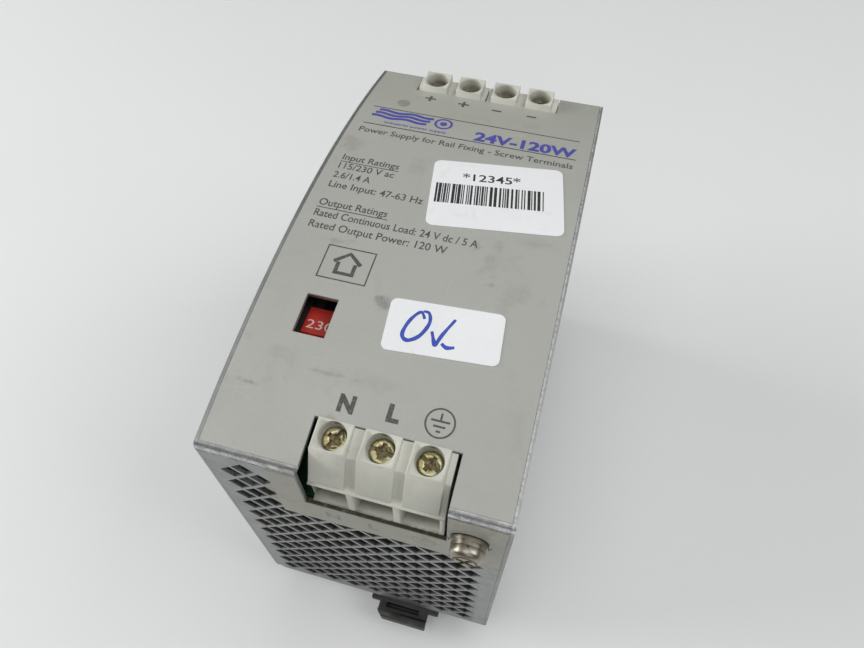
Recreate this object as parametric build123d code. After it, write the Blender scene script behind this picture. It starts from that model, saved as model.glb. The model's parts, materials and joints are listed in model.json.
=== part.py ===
from build123d import *
import math
import os

os.makedirs("parts", exist_ok=True)

# Single-output power supply for a 35 mm top-hat rail, in a folded sheet-metal case with a bowed front.
# Frame: X runs along the rail (to the right seen from the front), Y runs up the unit as it hangs on the
# rail (mains terminals at -Y, output terminals at +Y), Z points away from the rail towards the front.
# The origin is the centre of the face that rests on the rail's two lips.

# ---------------------------------------------------------------- driving dimensions (mm)
CASE_W = 64.0          # width along the rail
CASE_H = 124.0         # height
SIDE_DEPTH = 86.0      # back face to the front corners
BOW = 7.4              # rise of the bowed front over its chord
SEAT_GAP = 8.6         # rail seat to the back of the case; 102 mm from rail to the crest of the front
SHEET = 0.8            # sheet thickness
FRONT_BEND = 1.6       # outside radius where the front folds into the ends
BACK_BEND_L = 2.6      # outside radius of the left rear fold
BACK_BEND_R = 1.0      # outside radius of the right rear fold
FOIL = 0.2             # printed foil thickness
FIT = 0.05             # gap between folded shells

HOLE_DIAG = 5.2        # vent: square hole set on its corner, across corners
HOLE_STEP_X = 3.23     # half pitch of the vent lattice across
HOLE_STEP_Z = 3.21     # half pitch of the vent lattice in depth

POLE_PITCH = 9.7       # terminal pitch
TOWER_W_IN = 7.5       # width of one screw tower, mains row
TOWER_W_OUT = 7.05     # width of one screw tower, output row
SCREW_PITCH = 0.6      # terminal screw thread pitch
SCREW_HEAD_R = 2.6
SCREW_SHANK_R = 1.5
THREAD_GAP = 0.06      # radial running clearance of the terminal thread

RAIL_H = 35.0          # top-hat rail height
RAIL_LIP = 1.0         # rail sheet thickness
CLIP_X = 7.7           # the rail bracket sits right of the case centre line
LATCH_TRAVEL = 4.0

XE = CASE_W / 2
YE = CASE_H / 2
ZB = SEAT_GAP
ZF = SEAT_GAP + SIDE_DEPTH
ZC = ZF + BOW
BOW_R = (YE * YE + BOW * BOW) / (2 * BOW)
BOW_Z0 = ZC - BOW_R
HALF_ANGLE = math.asin(YE / BOW_R)
XI = XE - SHEET - FIT  # half width of the folded front strip, between the side walls


def export(shape, name):
    export_step(shape, f"parts/{name}.step")


def bow_z(y, off=0.0):
    """Height of the bowed front at y, moved off along its normal."""
    return BOW_Z0 + math.sqrt((BOW_R + off) ** 2 - y * y)


def box(x0, x1, y0, y1, z0, z1):
    return Pos((x0 + x1) / 2, (y0 + y1) / 2, (z0 + z1) / 2) * Box(x1 - x0, y1 - y0, z1 - z0)


def cyl_x(r, x0, x1, y, z):
    return Pos((x0 + x1) / 2, y, z) * Rot(0, 90, 0) * Cylinder(r, x1 - x0)


def cyl_y(r, y0, y1, x, z):
    return Pos(x, (y0 + y1) / 2, z) * Rot(90, 0, 0) * Cylinder(r, y1 - y0)


def cyl_z(r, z0, z1, x, y):
    return Pos(x, y, (z0 + z1) / 2) * Cylinder(r, z1 - z0)


def prism_yz(points, x0, x1):
    """Closed outline in (y, z), extruded from x0 to x1."""
    face = make_face(Polyline(*points, close=True))
    solid = extrude(Plane.YZ * face, amount=x1 - x0)
    return Pos(x0, 0, 0) * solid


def bow_prism(off, zlow, half_w, bend):
    """Outline of the case seen from the side: straight ends, bowed front, rounded front corners."""
    ye = YE - off
    zt = bow_z(ye, -off)
    outline = make_face([
        Line((-ye, zlow), (-ye, zt)),
        ThreePointArc((-ye, zt), (0, ZC - off), (ye, zt)),
        Line((ye, zt), (ye, zlow)),
        Line((ye, zlow), (-ye, zlow)),
    ])
    if bend > 0:
        corners = [v for v in outline.vertices() if v.Y > (zlow + zt) / 2]
        outline = fillet(corners, bend)
    return extrude(Plane.YZ * outline, amount=half_w, both=True)


def arc_y(a):
    """y of a point a mm along the bowed front from its lower corner."""
    return BOW_R * math.sin(a / BOW_R - HALF_ANGLE)


def tag(shape_or_list):
    return Compound(children=list(shape_or_list))


# ---------------------------------------------------------------- cut-outs in the front and the ends
IN_X0, IN_X1 = -10.4, 19.35      # mains terminal cut-out across, on the front
IN_END_X0 = -11.0                # its left edge on the lower end
IN_Y = -51.0                     # its edge on the front
OUT_X0, OUT_X1 = -19.6, 19.9     # output terminal cut-out across
OUT_Y = 52.05
CUT_DEPTH = 16.2                 # both cut-outs run this far down the end plates
WIN_X0, WIN_X1 = -21.1, -14.2    # voltage selector window
WIN_Y0, WIN_Y1 = arc_y(27.5), arc_y(36.8)

in_cut = box(IN_X0, IN_X1, -YE - 5, IN_Y, ZF - CUT_DEPTH, ZC + 5)
in_cut = in_cut + box(IN_END_X0, IN_X1, -YE - 5, -YE + 1.0, ZF - CUT_DEPTH, ZF - 0.4)
out_cut = box(OUT_X0, OUT_X1, OUT_Y, YE + 5, ZF - CUT_DEPTH, ZC + 5)
window = box(WIN_X0, WIN_X1, WIN_Y0, WIN_Y1, ZC - 12, ZC + 5)

# ---------------------------------------------------------------- front and ends: one folded strip
strip = bow_prism(0, ZB, XI, FRONT_BEND) - bow_prism(SHEET, ZB - 5, XI + 5, FRONT_BEND - SHEET)
strip = strip - in_cut - out_cut - window
SPLIT_Z = ZF - 2.4

lamp_x, lamp_y = -20.7, arc_y(106.2)
front_cover = strip & box(-XE, XE, -YE - 1, YE + 1, SPLIT_Z, ZC + 5)
front_cover = front_cover - cyl_z(1.8, ZF, ZC + 5, lamp_x, lamp_y)
export(front_cover, "front_cover")


def lattice(keep):
    holes = []
    side = HOLE_DIAG / math.sqrt(2)
    for j in range(-7, 17):
        for i in range(0, 17):
            if (i + j) % 2:
                continue
            x = -XE + 5.65 + HOLE_STEP_X * i
            z = ZF - (29.26 + HOLE_STEP_Z * j)
            if keep(i, j, x, z):
                holes.append(Pos(x, z) * Rot(0, 0, 45) * Rectangle(side, side))
    return holes


def punch(plate, holes, y0, y1):
    cut = [Pos(0, y1, 0) * extrude(Plane.XZ * h, amount=y1 - y0) for h in holes]
    return plate - cut


end_box = box(-XE, XE, -YE - 1, -YE + 2, ZB - 1, SPLIT_Z)
input_end = strip & end_box
output_end = strip & box(-XE, XE, YE - 2, YE + 1, ZB - 1, SPLIT_Z)

corner = extrude(Plane.XZ * make_face(Polyline((-XE - 1, ZB - 1), (-XE + 3.0 + 0.87, ZB - 1), (-XE - 1, ZB + 2.6 + 1.15), close=True)), amount=YE + 5, both=True)
input_end = input_end - corner
output_end = output_end - corner

EARTH_X, EARTH_Z = 24.0, ZF - 12.8
input_end = punch(input_end, lattice(lambda i, j, x, z: j >= -1 or i <= 2), -YE - 1, -YE + 2)
input_end = input_end - cyl_y(2.05, -YE - 1, -YE + 2, EARTH_X, EARTH_Z)
export(input_end, "input_end_grille")

output_end = punch(output_end, lattice(lambda i, j, x, z: j >= -1 or i <= 1 or i == 16), YE - 2, YE + 1)
export(output_end, "output_end_grille")

# ---------------------------------------------------------------- rear chassis: both side walls and the back
outer_u = make_face(Polyline((-XE, ZB), (XE, ZB), (XE, ZC + 5), (-XE, ZC + 5), close=True))
low = sorted(outer_u.vertices(), key=lambda v: (v.Y, v.X))
outer_u = fillet(low[0], BACK_BEND_L)
low = sorted(outer_u.vertices(), key=lambda v: (-v.X, v.Y))
outer_u = fillet(low[0], BACK_BEND_R)
inner_u = make_face(Polyline((-XE + SHEET, ZB + SHEET), (XE - SHEET, ZB + SHEET), (XE - SHEET, ZC + 9), (-XE + SHEET, ZC + 9), close=True))
low = sorted(inner_u.vertices(), key=lambda v: (v.Y, v.X))
inner_u = fillet(low[0], BACK_BEND_L - SHEET)
low = sorted(inner_u.vertices(), key=lambda v: (-v.X, v.Y))
inner_u = fillet(low[0], BACK_BEND_R - SHEET)
u_solid = extrude(Plane.XZ * outer_u, amount=YE, both=True) - extrude(Plane.XZ * inner_u, amount=YE + 1, both=True)
chassis = u_solid & bow_prism(0, ZB - 1, XE + 1, FRONT_BEND)
for s in (-1, 1):
    y0, y1 = sorted((s * (YE - SHEET - FIT), s * (YE + 1)))
    chassis = chassis - box(-XI, XI, y0, y1, ZB - 2, ZC + 5)
# fixing holes for the cover, the standoffs and the rail bracket
COVER_SCREWS = [(s, y, z) for s in (-1, 1) for y, z in ((-55.5, 50.0), (55.5, 50.0))]
for s, y, z in COVER_SCREWS:
    chassis = chassis - Pos(s * (XE - SHEET / 2), y, z) * Rot(0, 90 * s, 0) * Cone(1.9, 2.8, SHEET + 0.02)
BRACKET_SCREWS = [(CLIP_X - 16.2, -22.0), (CLIP_X + 16.2, -22.0), (CLIP_X - 16.8, 21.0), (CLIP_X + 16.8, 21.0)]
for x, y in BRACKET_SCREWS:
    chassis = chassis - cyl_z(1.6, ZB - 1, ZB + 3, x, y)
export(chassis, "rear_chassis")

# tabs folded in from the ends take the cover screws; they are welded to the end plates
tabs = []
for s in (-1, 1):
    for e in (-1, 1):
        x0, x1 = sorted((s * (XE - SHEET - FIT), s * (XE - SHEET - FIT - 1.2)))
        y0, y1 = sorted((e * (YE - SHEET), e * (YE - SHEET - 10)))
        tab = box(x0, x1, y0, y1, 43.0, 57.0)
        tab = tab - cyl_x(1.25, min(x0, x1) - 1, max(x0, x1) + 1, e * 55.5, 50.0)
        tabs.append(tab)
export(tag(tabs), "cover_tabs")

screws = []
for s, y, z in COVER_SCREWS:
    head = Pos(s * (XE - SHEET / 2 - 0.01), y, z) * Rot(0, 90 * s, 0) * Cone(1.85, 2.75, SHEET - 0.02)
    c, d = sorted((s * (XE - SHEET + 0.02), s * (XE - SHEET - 2.6)))
    screw = head + cyl_x(1.2, c, d, y, z)
    a, b = sorted((s * (XE - 0.55), s * (XE + 1)))
    cross = box(a, b, y - 0.3, y + 0.3, z - 1.5, z + 1.5) + box(a, b, y - 1.5, y + 1.5, z - 0.3, z + 0.3)
    screws.append(screw - cross)
export(tag(screws), "cover_screws")

# ---------------------------------------------------------------- foils and stickers
foil_solid = bow_prism(-FOIL, ZF - 4, XE, 0) - bow_prism(0.0, ZB, XE + 5, 0)
foil_solid = foil_solid & box(-XI + 0.15, XI - 0.1, arc_y(1.2), arc_y(123.6), ZF - 2, ZC + 5)
foil_solid = foil_solid - box(IN_X0 - 0.08, IN_X1 + 0.08, -YE - 5, IN_Y + 0.08, ZF - 5, ZC + 5)
foil_solid = foil_solid - box(OUT_X0 - 0.08, OUT_X1 + 0.08, OUT_Y - 0.08, YE + 5, ZF - 5, ZC + 5)
foil_solid = foil_solid - box(WIN_X0 - 0.1, WIN_X1 + 0.1, WIN_Y0 - 0.1, WIN_Y1 + 0.1, ZF - 5, ZC + 5)
export(foil_solid, "front_foil")


def sticker(corners, t_in, t_out, radius):
    """Rounded label lying on the bowed foil; corners are (x, distance along the front)."""
    pts = [(x, arc_y(a)) for x, a in corners]
    face = make_face(Polyline(*pts, close=True))
    face = fillet(face.vertices(), radius)
    block = Pos(0, 0, ZF - 5) * extrude(face, amount=20)
    shell = bow_prism(-t_out, ZF - 4, XE, 0) - bow_prism(-t_in, ZB, XE + 5, 0)
    return block & shell


A = 1.0069
barcode = sticker([(26.3 - XE, 83.0 * A), (57.3 - XE, 87.7 * A), (61.1 - XE, 65.4 * A), (29.9 - XE, 60.9 * A)], FOIL + 0.005, FOIL + 0.13, 1.9)
export(barcode, "barcode_sticker")
inspect = sticker([(28.7 - XE, 40.0 * A), (53.0 - XE, 41.6 * A), (54.0 - XE, 29.7 * A), (29.7 - XE, 27.8 * A)], FOIL + 0.005, FOIL + 0.13, 1.5)
export(inspect, "inspection_sticker")

# beige foil around the mains cut-out on the lower end
ef = make_face(Polyline((14.4, 3.0), (20.75, 3.0), (20.75, 16.45), (51.45, 16.45), (51.45, 2.5), (63.0, 2.5), (63.0, 25.6), (14.4, 25.6), close=True))
end_foil = extrude(ef, amount=0.15)
end_foil = Pos(-XE, -YE, ZF) * Rot(90, 0, 0) * mirror(end_foil, Plane.XZ)
end_foil = end_foil - cyl_y(4.6, -YE - 1, -YE + 1, EARTH_X, EARTH_Z)
export(end_foil, "terminal_foil")

# ---------------------------------------------------------------- terminals
class Station:
    """Local frame of a terminal row: u along the front away from the end, w out of the front."""

    def __init__(self, end, y_axis, flat_z=None):
        self.e = end                        # -1 mains end, +1 output end
        self.y0 = end * y_axis
        phi = math.asin(y_axis / BOW_R) if flat_z is None else 0.0
        self.phi = phi
        self.z0 = bow_z(self.y0) if flat_z is None else flat_z
        self.n = (end * math.sin(phi), math.cos(phi))
        self.u = (-end * math.cos(phi), math.sin(phi))

    def at(self, u, w):
        return (self.y0 + u * self.u[0] + w * self.n[0], self.z0 + u * self.u[1] + w * self.n[1])

    def place(self, shape, x):
        """A solid built about +Z with the front surface at z=0, u along +Y."""
        turn = Rot(0, 0, 180) if self.e > 0 else Rot(0, 0, 0)
        return Pos(x, self.y0, self.z0) * Rot(-self.e * math.degrees(self.phi), 0, 0) * turn * shape

    def axis(self):
        return (0.0, self.n[0], self.n[1])


PCB_TOP = 78.2
in_st = Station(-1, 53.9)              # the mains row stands square to the bowed front
out_st = Station(1, 55.65, 96.8)       # the output row stands parallel to the rail axis
HEAD_T = 1.9
CAGE_REST = -5.3       # top of the clamp cage, fully up
CAGE_HALF = 2.15       # half depth of the clamp cage along the wire
# per row: tower top above the front, its two edges along u, screw head top, web top, pin and bar ends along u
ROWS = {
    -1: dict(proud=0.7, u1=3.05, u0=-3.35, head=-2.1, web=-0.25, pin=5.33, bar=5.75, back=-47.3, tower=TOWER_W_IN,
             r=2.75, taper=-3.9, mouth=5.2, cav=-4.4, b1=(-60.75, 88.8), c1=(-61.35, 80.2)),
    1: dict(proud=1.9, u1=3.2, u0=-3.25, head=-1.7, web=-0.3, pin=3.5, bar=3.9, back=51.05, tower=TOWER_W_OUT,
            r=2.85, taper=-4.5, mouth=1.2, cav=-3.2, b1=(61.05, 88.0), c1=(61.6, 80.2)),
}


def block_solid(st, x0, x1, centres):
    e = st.e
    r = ROWS[e]
    proud, head_top = r["proud"], r["head"]
    T1 = st.at(r["u1"], proud)
    T0 = st.at(r["u0"], proud)
    B1, C1 = r["b1"], r["c1"]
    lip_z = ZF - CUT_DEPTH + 0.25
    inside_y = e * (YE - SHEET - 0.1)
    back_y = r["back"]
    foot_y = T1[0] + (0.0 if e < 0 else -0.2)
    under = bow_z(foot_y) - SHEET - 0.5
    back = [(C1[0], lip_z), (inside_y, lip_z), (inside_y, PCB_TOP), (back_y, PCB_TOP), (back_y, bow_z(back_y) - SHEET - 0.5), (foot_y, under)]
    tower_poly = [T0, B1, C1] + back + [T1]
    W0 = st.at(r["u0"] + 0.05, r["web"])
    W1 = (foot_y, st.at(r["u1"], r["web"])[1])
    wb = (B1[0] - e * 0.85, 88.3)
    web_poly = [W0, wb, (C1[0], 87.9), C1] + back + [W1]
    body = prism_yz(web_poly, x0, x1)
    for xc in centres:
        body = body + prism_yz(tower_poly, xc - r["tower"] / 2, xc + r["tower"] / 2)
    for xc in centres:
        # funnel and screw bore
        funnel = extrude(Pos(0, 0, head_top - 0.1) * Circle(r["r"]), amount=proud - head_top + 0.6, taper=r["taper"])
        bore = cyl_z(SCREW_HEAD_R + 0.12, head_top - HEAD_T - 0.25, head_top, 0, 0)
        shank = cyl_z(1.75, -5.2, head_top - HEAD_T, 0, 0)
        pocket = st.place(funnel + bore + shank, xc)
        body = body - pocket
        # cage cavity, open towards the wire entry
        cavity = box(-2.95, 2.95, r["cav"], 2.9, -15.6, -4.9)
        body = body - st.place(cavity, xc)
        # seat of the contact bar and its pin
        body = body - st.place(box(-1.75, 1.75, -2.7, r["bar"] + 0.15, -10.8, -9.65), xc)
        y_pin, z_pin = st.at(r["pin"], -10.2)
        body = body - box(xc - 1.05, xc + 1.05, y_pin - 0.55, y_pin + 0.55, PCB_TOP - 1, z_pin)
        # wire entry: rectangular tube from the cage to the end, then a pocket sloping down to the lower lip
        yb = C1[0] + e * 1.0
        ycav = st.y0 + e * 2.5
        a, b = sorted((yb, ycav))
        body = body - box(xc - 2.4, xc + 2.4, a, b, 81.6, 87.0)
        mouth = loft([Plane(origin=(xc, C1[0] - e * r["mouth"], 84.2), x_dir=(1, 0, 0), z_dir=(0, e, 0)) * Rectangle(4.8, 5.2),
                      Plane(origin=(xc, C1[0] + e * 0.25, 83.175), x_dir=(1, 0, 0), z_dir=(0, e, 0)) * Rectangle(8.5, 8.55)])
        body = body - mouth
    return body


IN_CENTRES = (-5.75, 3.95, 13.65)
PLUS_CENTRES = (-14.45, -4.85)
MINUS_CENTRES = (5.1, 14.7)
in_block = block_solid(in_st, -9.6, 18.65, IN_CENTRES)
export(in_block, "input_terminal_block")
plus_block = block_solid(out_st, -19.45, -0.05, PLUS_CENTRES)
export(plus_block, "output_terminal_block_plus")
minus_block = block_solid(out_st, 0.25, 19.75, MINUS_CENTRES)
export(minus_block, "output_terminal_block_minus")


def terminal_screw(top):
    head = cyl_z(SCREW_HEAD_R, top - HEAD_T, top, 0, 0)
    head = chamfer_top(head)
    slot = box(-SCREW_HEAD_R - 1, SCREW_HEAD_R + 1, -0.4, 0.4, top - 0.8, top + 1)
    cross = box(-1.7, 1.7, -0.45, 0.45, top - 1.3, top + 1) + box(-0.45, 0.45, -1.7, 1.7, top - 1.3, top + 1)
    recess = Pos(0, 0, top - 1.5) * Cone(0.35, 1.15, 1.5, align=(Align.CENTER, Align.CENTER, Align.MIN))
    shank = cyl_z(SCREW_SHANK_R, -9.6, top - HEAD_T + 0.1, 0, 0)
    return head + shank - slot - cross - recess


def chamfer_top(c):
    edge = c.edges().sort_by(Axis.Z)[-1]
    return fillet(edge, 0.5)


def clamp_cage():
    outer = box(-2.75, 2.75, -CAGE_HALF, CAGE_HALF, CAGE_REST - 7.0, CAGE_REST)
    wire_way = box(-1.95, 1.95, -5, 5, CAGE_REST - 6.0, CAGE_REST - 1.3)
    thread = cyl_z(SCREW_SHANK_R + THREAD_GAP, CAGE_REST - 2, CAGE_REST + 1, 0, 0)
    return outer - wire_way - thread


SCREW_ANGLES = {"n": 62, "l": -8, "earth": 152, "plus_1": 20, "plus_2": 75, "minus_1": -35, "minus_2": 110}
TERMINALS = [("n", in_st, IN_CENTRES[0]), ("l", in_st, IN_CENTRES[1]), ("earth", in_st, IN_CENTRES[2]),
             ("plus_1", out_st, PLUS_CENTRES[0]), ("plus_2", out_st, PLUS_CENTRES[1]),
             ("minus_1", out_st, MINUS_CENTRES[0]), ("minus_2", out_st, MINUS_CENTRES[1])]
for name, st, x in TERMINALS:
    export(st.place(Rot(0, 0, SCREW_ANGLES[name]) * terminal_screw(ROWS[st.e]["head"]), x), f"terminal_screw_{name}")
    export(st.place(clamp_cage(), x), f"clamp_cage_{name}")


def contact_bar(st, x):
    """Brass bar the wire is pressed against, bent down to the board beside the cage."""
    r = ROWS[st.e]
    bar = st.place(box(-1.7, 1.7, -2.1, r["bar"], -10.75, -9.7), x)
    y_pin, z_pin = st.at(r["pin"], -10.2)
    a, b = sorted((y_pin - 0.5, y_pin + 0.5))
    pin = box(x - 1.0, x + 1.0, a, b, PCB_TOP - 3.2, z_pin)
    return bar + pin


in_bars = [contact_bar(in_st, x) for x in IN_CENTRES]
out_bars = [contact_bar(out_st, x) for x in PLUS_CENTRES + MINUS_CENTRES]
export(tag(in_bars), "input_contact_bars")
export(tag(out_bars), "output_contact_bars")

print("mains terminal axis", in_st.axis(), "at", (in_st.y0, in_st.z0))
print("output terminal axis", out_st.axis(), "at", (out_st.y0, out_st.z0))

# ---------------------------------------------------------------- earth screw on the lower end
washer = cyl_y(4.0, -YE - 0.95, -YE - 0.16, EARTH_X, EARTH_Z) - cyl_y(2.15, -YE - 2, -YE + 1, EARTH_X, EARTH_Z)
lock = cyl_y(3.6, -YE - 1.75, -YE - 0.96, EARTH_X, EARTH_Z) - cyl_y(2.15, -YE - 3, -YE + 1, EARTH_X, EARTH_Z)
lock = lock - Pos(EARTH_X + 2.9, -YE - 1.35, EARTH_Z) * Rot(0, 0, 25) * Box(2.4, 2.0, 0.6)
export(tag([washer, lock]), "earth_washers")
e_head = cyl_y(3.5, -YE - 4.2, -YE - 1.76, EARTH_X, EARTH_Z)
e_head = fillet(e_head.edges().sort_by(Axis.Y)[0], 1.6)
e_shank = cyl_y(1.95, -YE - 1.9, -YE + 7.0, EARTH_X, EARTH_Z)
e_cross = box(EARTH_X - 2.1, EARTH_X + 2.1, -YE - 5, -YE - 2.7, EARTH_Z - 0.45, EARTH_Z + 0.45)
e_cross = e_cross + box(EARTH_X - 0.45, EARTH_X + 0.45, -YE - 5, -YE - 2.7, EARTH_Z - 2.1, EARTH_Z + 2.1)
e_cross = Pos(EARTH_X, 0, EARTH_Z) * Rot(0, 32, 0) * Pos(-EARTH_X, 0, -EARTH_Z) * e_cross
export(e_head + e_shank - e_cross, "earth_screw")
nut = extrude(RegularPolygon(4.0, 6), amount=3.0)
nut = Pos(EARTH_X, -YE + SHEET + 3.02, EARTH_Z) * Rot(90, 0, 0) * nut
nut = nut - cyl_y(2.0, -YE, -YE + 8, EARTH_X, EARTH_Z)

# ---------------------------------------------------------------- boards
front_board = box(-27.5, 27.5, -60.3, 60.3, PCB_TOP - 1.6, PCB_TOP)
for st, xs in ((in_st, IN_CENTRES), (out_st, PLUS_CENTRES + MINUS_CENTRES)):
    for x in xs:
        y_pin = st.at(ROWS[st.e]["pin"], -10.2)[0]
        front_board = front_board - box(x - 1.1, x + 1.1, y_pin - 0.6, y_pin + 0.6, PCB_TOP - 3, PCB_TOP + 1)
front_board = front_board - box(19.6, 28, -61, -52.5, PCB_TOP - 3, PCB_TOP + 1)
export(front_board, "front_board")

MB_X0, MB_X1 = -27.6, -26.0
STAND = [(-50.0, 18.0), (50.0, 18.0), (-50.0, 68.0), (50.0, 68.0)]
main_board = box(MB_X0, MB_X1, -58.5, 58.5, 12.0, 74.5)
sheet = box(-30.7, -30.3, -59.0, 59.0, 11.5, 75.0)
for e in (-1, 1):
    a, b = sorted((e * 50.9, e * 62.0))
    sheet = sheet - box(-32, -29, a, b, 42.0, 58.0)
posts, board_screws = [], []
for y, z in STAND:
    main_board = main_board - cyl_x(1.6, MB_X0 - 1, MB_X1 + 1, y, z)
    sheet = sheet - cyl_x(2.9, -31, -30, y, z)
    posts.append(cyl_x(2.6, -XE + SHEET, MB_X0, y, z) - cyl_x(1.5, -30, MB_X0 + 1, y, z))
    board_screws.append(cyl_x(2.8, MB_X1, MB_X1 + 1.8, y, z) + cyl_x(1.45, -29.8, MB_X1 + 0.1, y, z)
                        - box(MB_X1 + 0.9, MB_X1 + 3, y - 0.35, y + 0.35, z - 1.7, z + 1.7))
export(main_board, "main_board")
export(sheet, "insulating_sheet")
export(tag(posts), "board_standoffs")
export(tag(board_screws), "board_screws")

link = box(-24.0, -21.5, -45.0, -15.0, 71.0, PCB_TOP - 1.6)
link2 = box(-24.0, -21.5, 15.0, 45.0, 71.0, PCB_TOP - 1.6)
link = link + box(MB_X1, -24.0, -45.0, -15.0, 71.0, 73.5)
link2 = link2 + box(MB_X1, -24.0, 15.0, 45.0, 71.0, 73.5)
export(tag([link, link2]), "board_connectors")

# ---------------------------------------------------------------- voltage selector behind the window
SEL_X = -17.3
SEL_TOP = bow_z((WIN_Y0 + WIN_Y1) / 2) - 4.2
slider_y0, slider_y1 = WIN_Y1 - 14.6, WIN_Y1
sel_body = box(SEL_X - 5.6, SEL_X + 5.6, -46.5, -16.5, PCB_TOP, SEL_TOP - 1.5)
sel_rails = box(SEL_X - 5.6, SEL_X - 3.95, -46.5, -16.5, PCB_TOP, SEL_TOP + 0.1)
sel_rails = sel_rails + box(SEL_X + 3.95, SEL_X + 5.6, -46.5, -16.5, PCB_TOP, SEL_TOP + 0.1)
sel_rails = sel_rails + box(SEL_X - 5.6, SEL_X + 5.6, -18.0, -16.5, PCB_TOP, SEL_TOP + 0.1)
sel_rails = sel_rails + box(SEL_X - 5.6, SEL_X + 5.6, -46.5, -45.0, PCB_TOP, SEL_TOP + 0.1)
sel = sel_body + sel_rails
keyway = box(SEL_X - 1.5, SEL_X + 1.5, -43.5, -17.2, SEL_TOP - 4.0, SEL_TOP)
sel = sel - keyway
export(sel, "selector_body")
slider = box(SEL_X - 3.8, SEL_X + 3.8, slider_y0, slider_y1, SEL_TOP - 1.4, SEL_TOP)
slider = slider + box(SEL_X - 1.35, SEL_X + 1.35, slider_y0 + 2.0, slider_y1 - 2.0, SEL_TOP - 3.8, SEL_TOP - 1.2)
slider = slider - box(SEL_X - 4.5, SEL_X + 4.5, slider_y0 + 6.7, slider_y0 + 7.9, SEL_TOP - 0.7, SEL_TOP + 1)
export(slider, "selector_slider")
print("selector top", SEL_TOP, "slider y", slider_y0, slider_y1)

# ---------------------------------------------------------------- indicator lamp behind the foil
lamp_top = bow_z(lamp_y) - 0.15
lamp = cyl_z(1.5, lamp_top - 7.0, lamp_top - 0.05, lamp_x, lamp_y)
lamp = fillet(lamp.edges().sort_by(Axis.Z)[-1], 0.6)
lamp = lamp + cyl_z(1.9, lamp_top - 8.0, lamp_top - 6.9, lamp_x, lamp_y)
export(lamp, "indicator_lamp")
holder = box(lamp_x - 2.6, lamp_x + 2.6, lamp_y - 2.6, lamp_y + 2.6, PCB_TOP, lamp_top - 8.05)
export(holder, "lamp_holder")

# ---------------------------------------------------------------- power components on the main board
PX = MB_X1
export(tag([box(PX, PX + 12.0, -57.5, -40.0, 58.0, 63.0), box(PX, PX + 15.0, -38.0, -20.0, 63.5, 70.5)]), "x_capacitors")
fuse = cyl_y(2.6, -57.0, -37.0, PX + 6.2, 21.5)
clips = box(PX, PX + 6.4, -57.0, -53.0, 18.6, 24.4) - cyl_y(2.6, -60, -30, PX + 6.2, 21.5)
clips2 = box(PX, PX + 6.4, -41.0, -37.0, 18.6, 24.4) - cyl_y(2.6, -60, -30, PX + 6.2, 21.5)
export(tag([fuse, clips, clips2]), "mains_fuse")
export(cyl_y(6.5, -33.5, -29.5, PX + 8.0, 20.0) + box(PX, PX + 3, -32.2, -30.8, 17.0, 23.0), "inrush_thermistor")

choke_x = PX + 14.0
core = cyl_x(10.5, choke_x - 6, choke_x + 6, -46.0, 42.0) - cyl_x(5.5, choke_x - 8, choke_x + 8, -46.0, 42.0)
choke_base = box(PX, PX + 3.5, -55.0, -35.0, 32.0, 52.0)


def toroid_turns(cx, cy, cz, r_in, r_out, half_t, wire, angles):
    """Closed wire loops around a toroid whose axis lies along X."""
    loops = []
    r_mid = (r_in + r_out) / 2
    rad = (r_out - r_in) / 2 + wire / 2 + 0.15
    ht = half_t + wire / 2 + 0.15
    for a in angles:
        loop = RectangleRounded(2 * rad + wire, 2 * ht + wire, wire * 0.9) - RectangleRounded(2 * rad - wire, 2 * ht - wire, 0.3)
        turn = extrude(loop, amount=wire / 2, both=True)
        turn = Rot(0, 0, 90) * turn
        loops.append(Pos(cx, cy, cz) * Rot(a, 0, 0) * Pos(0, r_mid, 0) * turn)
    return loops


windings = toroid_turns(choke_x, -46.0, 42.0, 5.5, 10.5, 6.0, 1.1, [x for x in range(-60, 61, 10)] + [x for x in range(120, 241, 10)])

caps = [cyl_x(11.0, PX + 0.5, PX + 41.0, -18.0, 27.0), cyl_x(11.0, PX + 0.5, PX + 41.0, -18.0, 50.5)]
caps = [fillet(c.edges().sort_by(Axis.X)[-1], 1.2) for c in caps]
export(tag(caps), "bulk_capacitors")
export(box(PX + 2, PX + 22, -33.6, -30.2, 32.0, 52.0), "rectifier_bridge")

heatsink1 = box(PX, PX + 44.0, -5.0, -2.5, 16.0, 70.0)
for k in range(6):
    heatsink1 = heatsink1 + box(PX + 6 + 6.6 * k, PX + 7.4 + 6.6 * k, -2.6, 2.5, 16.0, 70.0)
power_packages = [box(PX + 3, PX + 19, -9.6, -5.05, 64.5, 69.9), box(PX + 24, PX + 40, -9.6, -5.05, 64.5, 69.9)]

TX0, TX1, TY0, TY1, TZ0, TZ1 = PX + 4.0, PX + 34.0, 6.0, 38.0, 26.0, 62.0
core_t = box(TX0 + 9, TX1 - 9, TY0, TY1, TZ0, TZ1)
core_t = core_t - box(TX0, TX1, TY0 + 5.5, 17.0, TZ0 + 6, TZ1 - 6) - box(TX0, TX1, 27.0, TY1 - 5.5, TZ0 + 6, TZ1 - 6)
export(core_t, "transformer_core")
wind = box(TX0 + 2.5, TX1 - 2.5, TY0 + 5.8, TY1 - 5.8, TZ0 + 6.4, TZ1 - 6.4) - box(TX0 + 8.7, TX1 - 8.7, 16.7, 27.3, TZ0, TZ1)
export(wind, "transformer_winding")
bob = box(PX, TX0 + 2.4, TY0 + 4, TY1 - 4, TZ0 + 2.0, TZ1 - 2.0)
export(tag([bob, choke_base]), "coil_bases")

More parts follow.
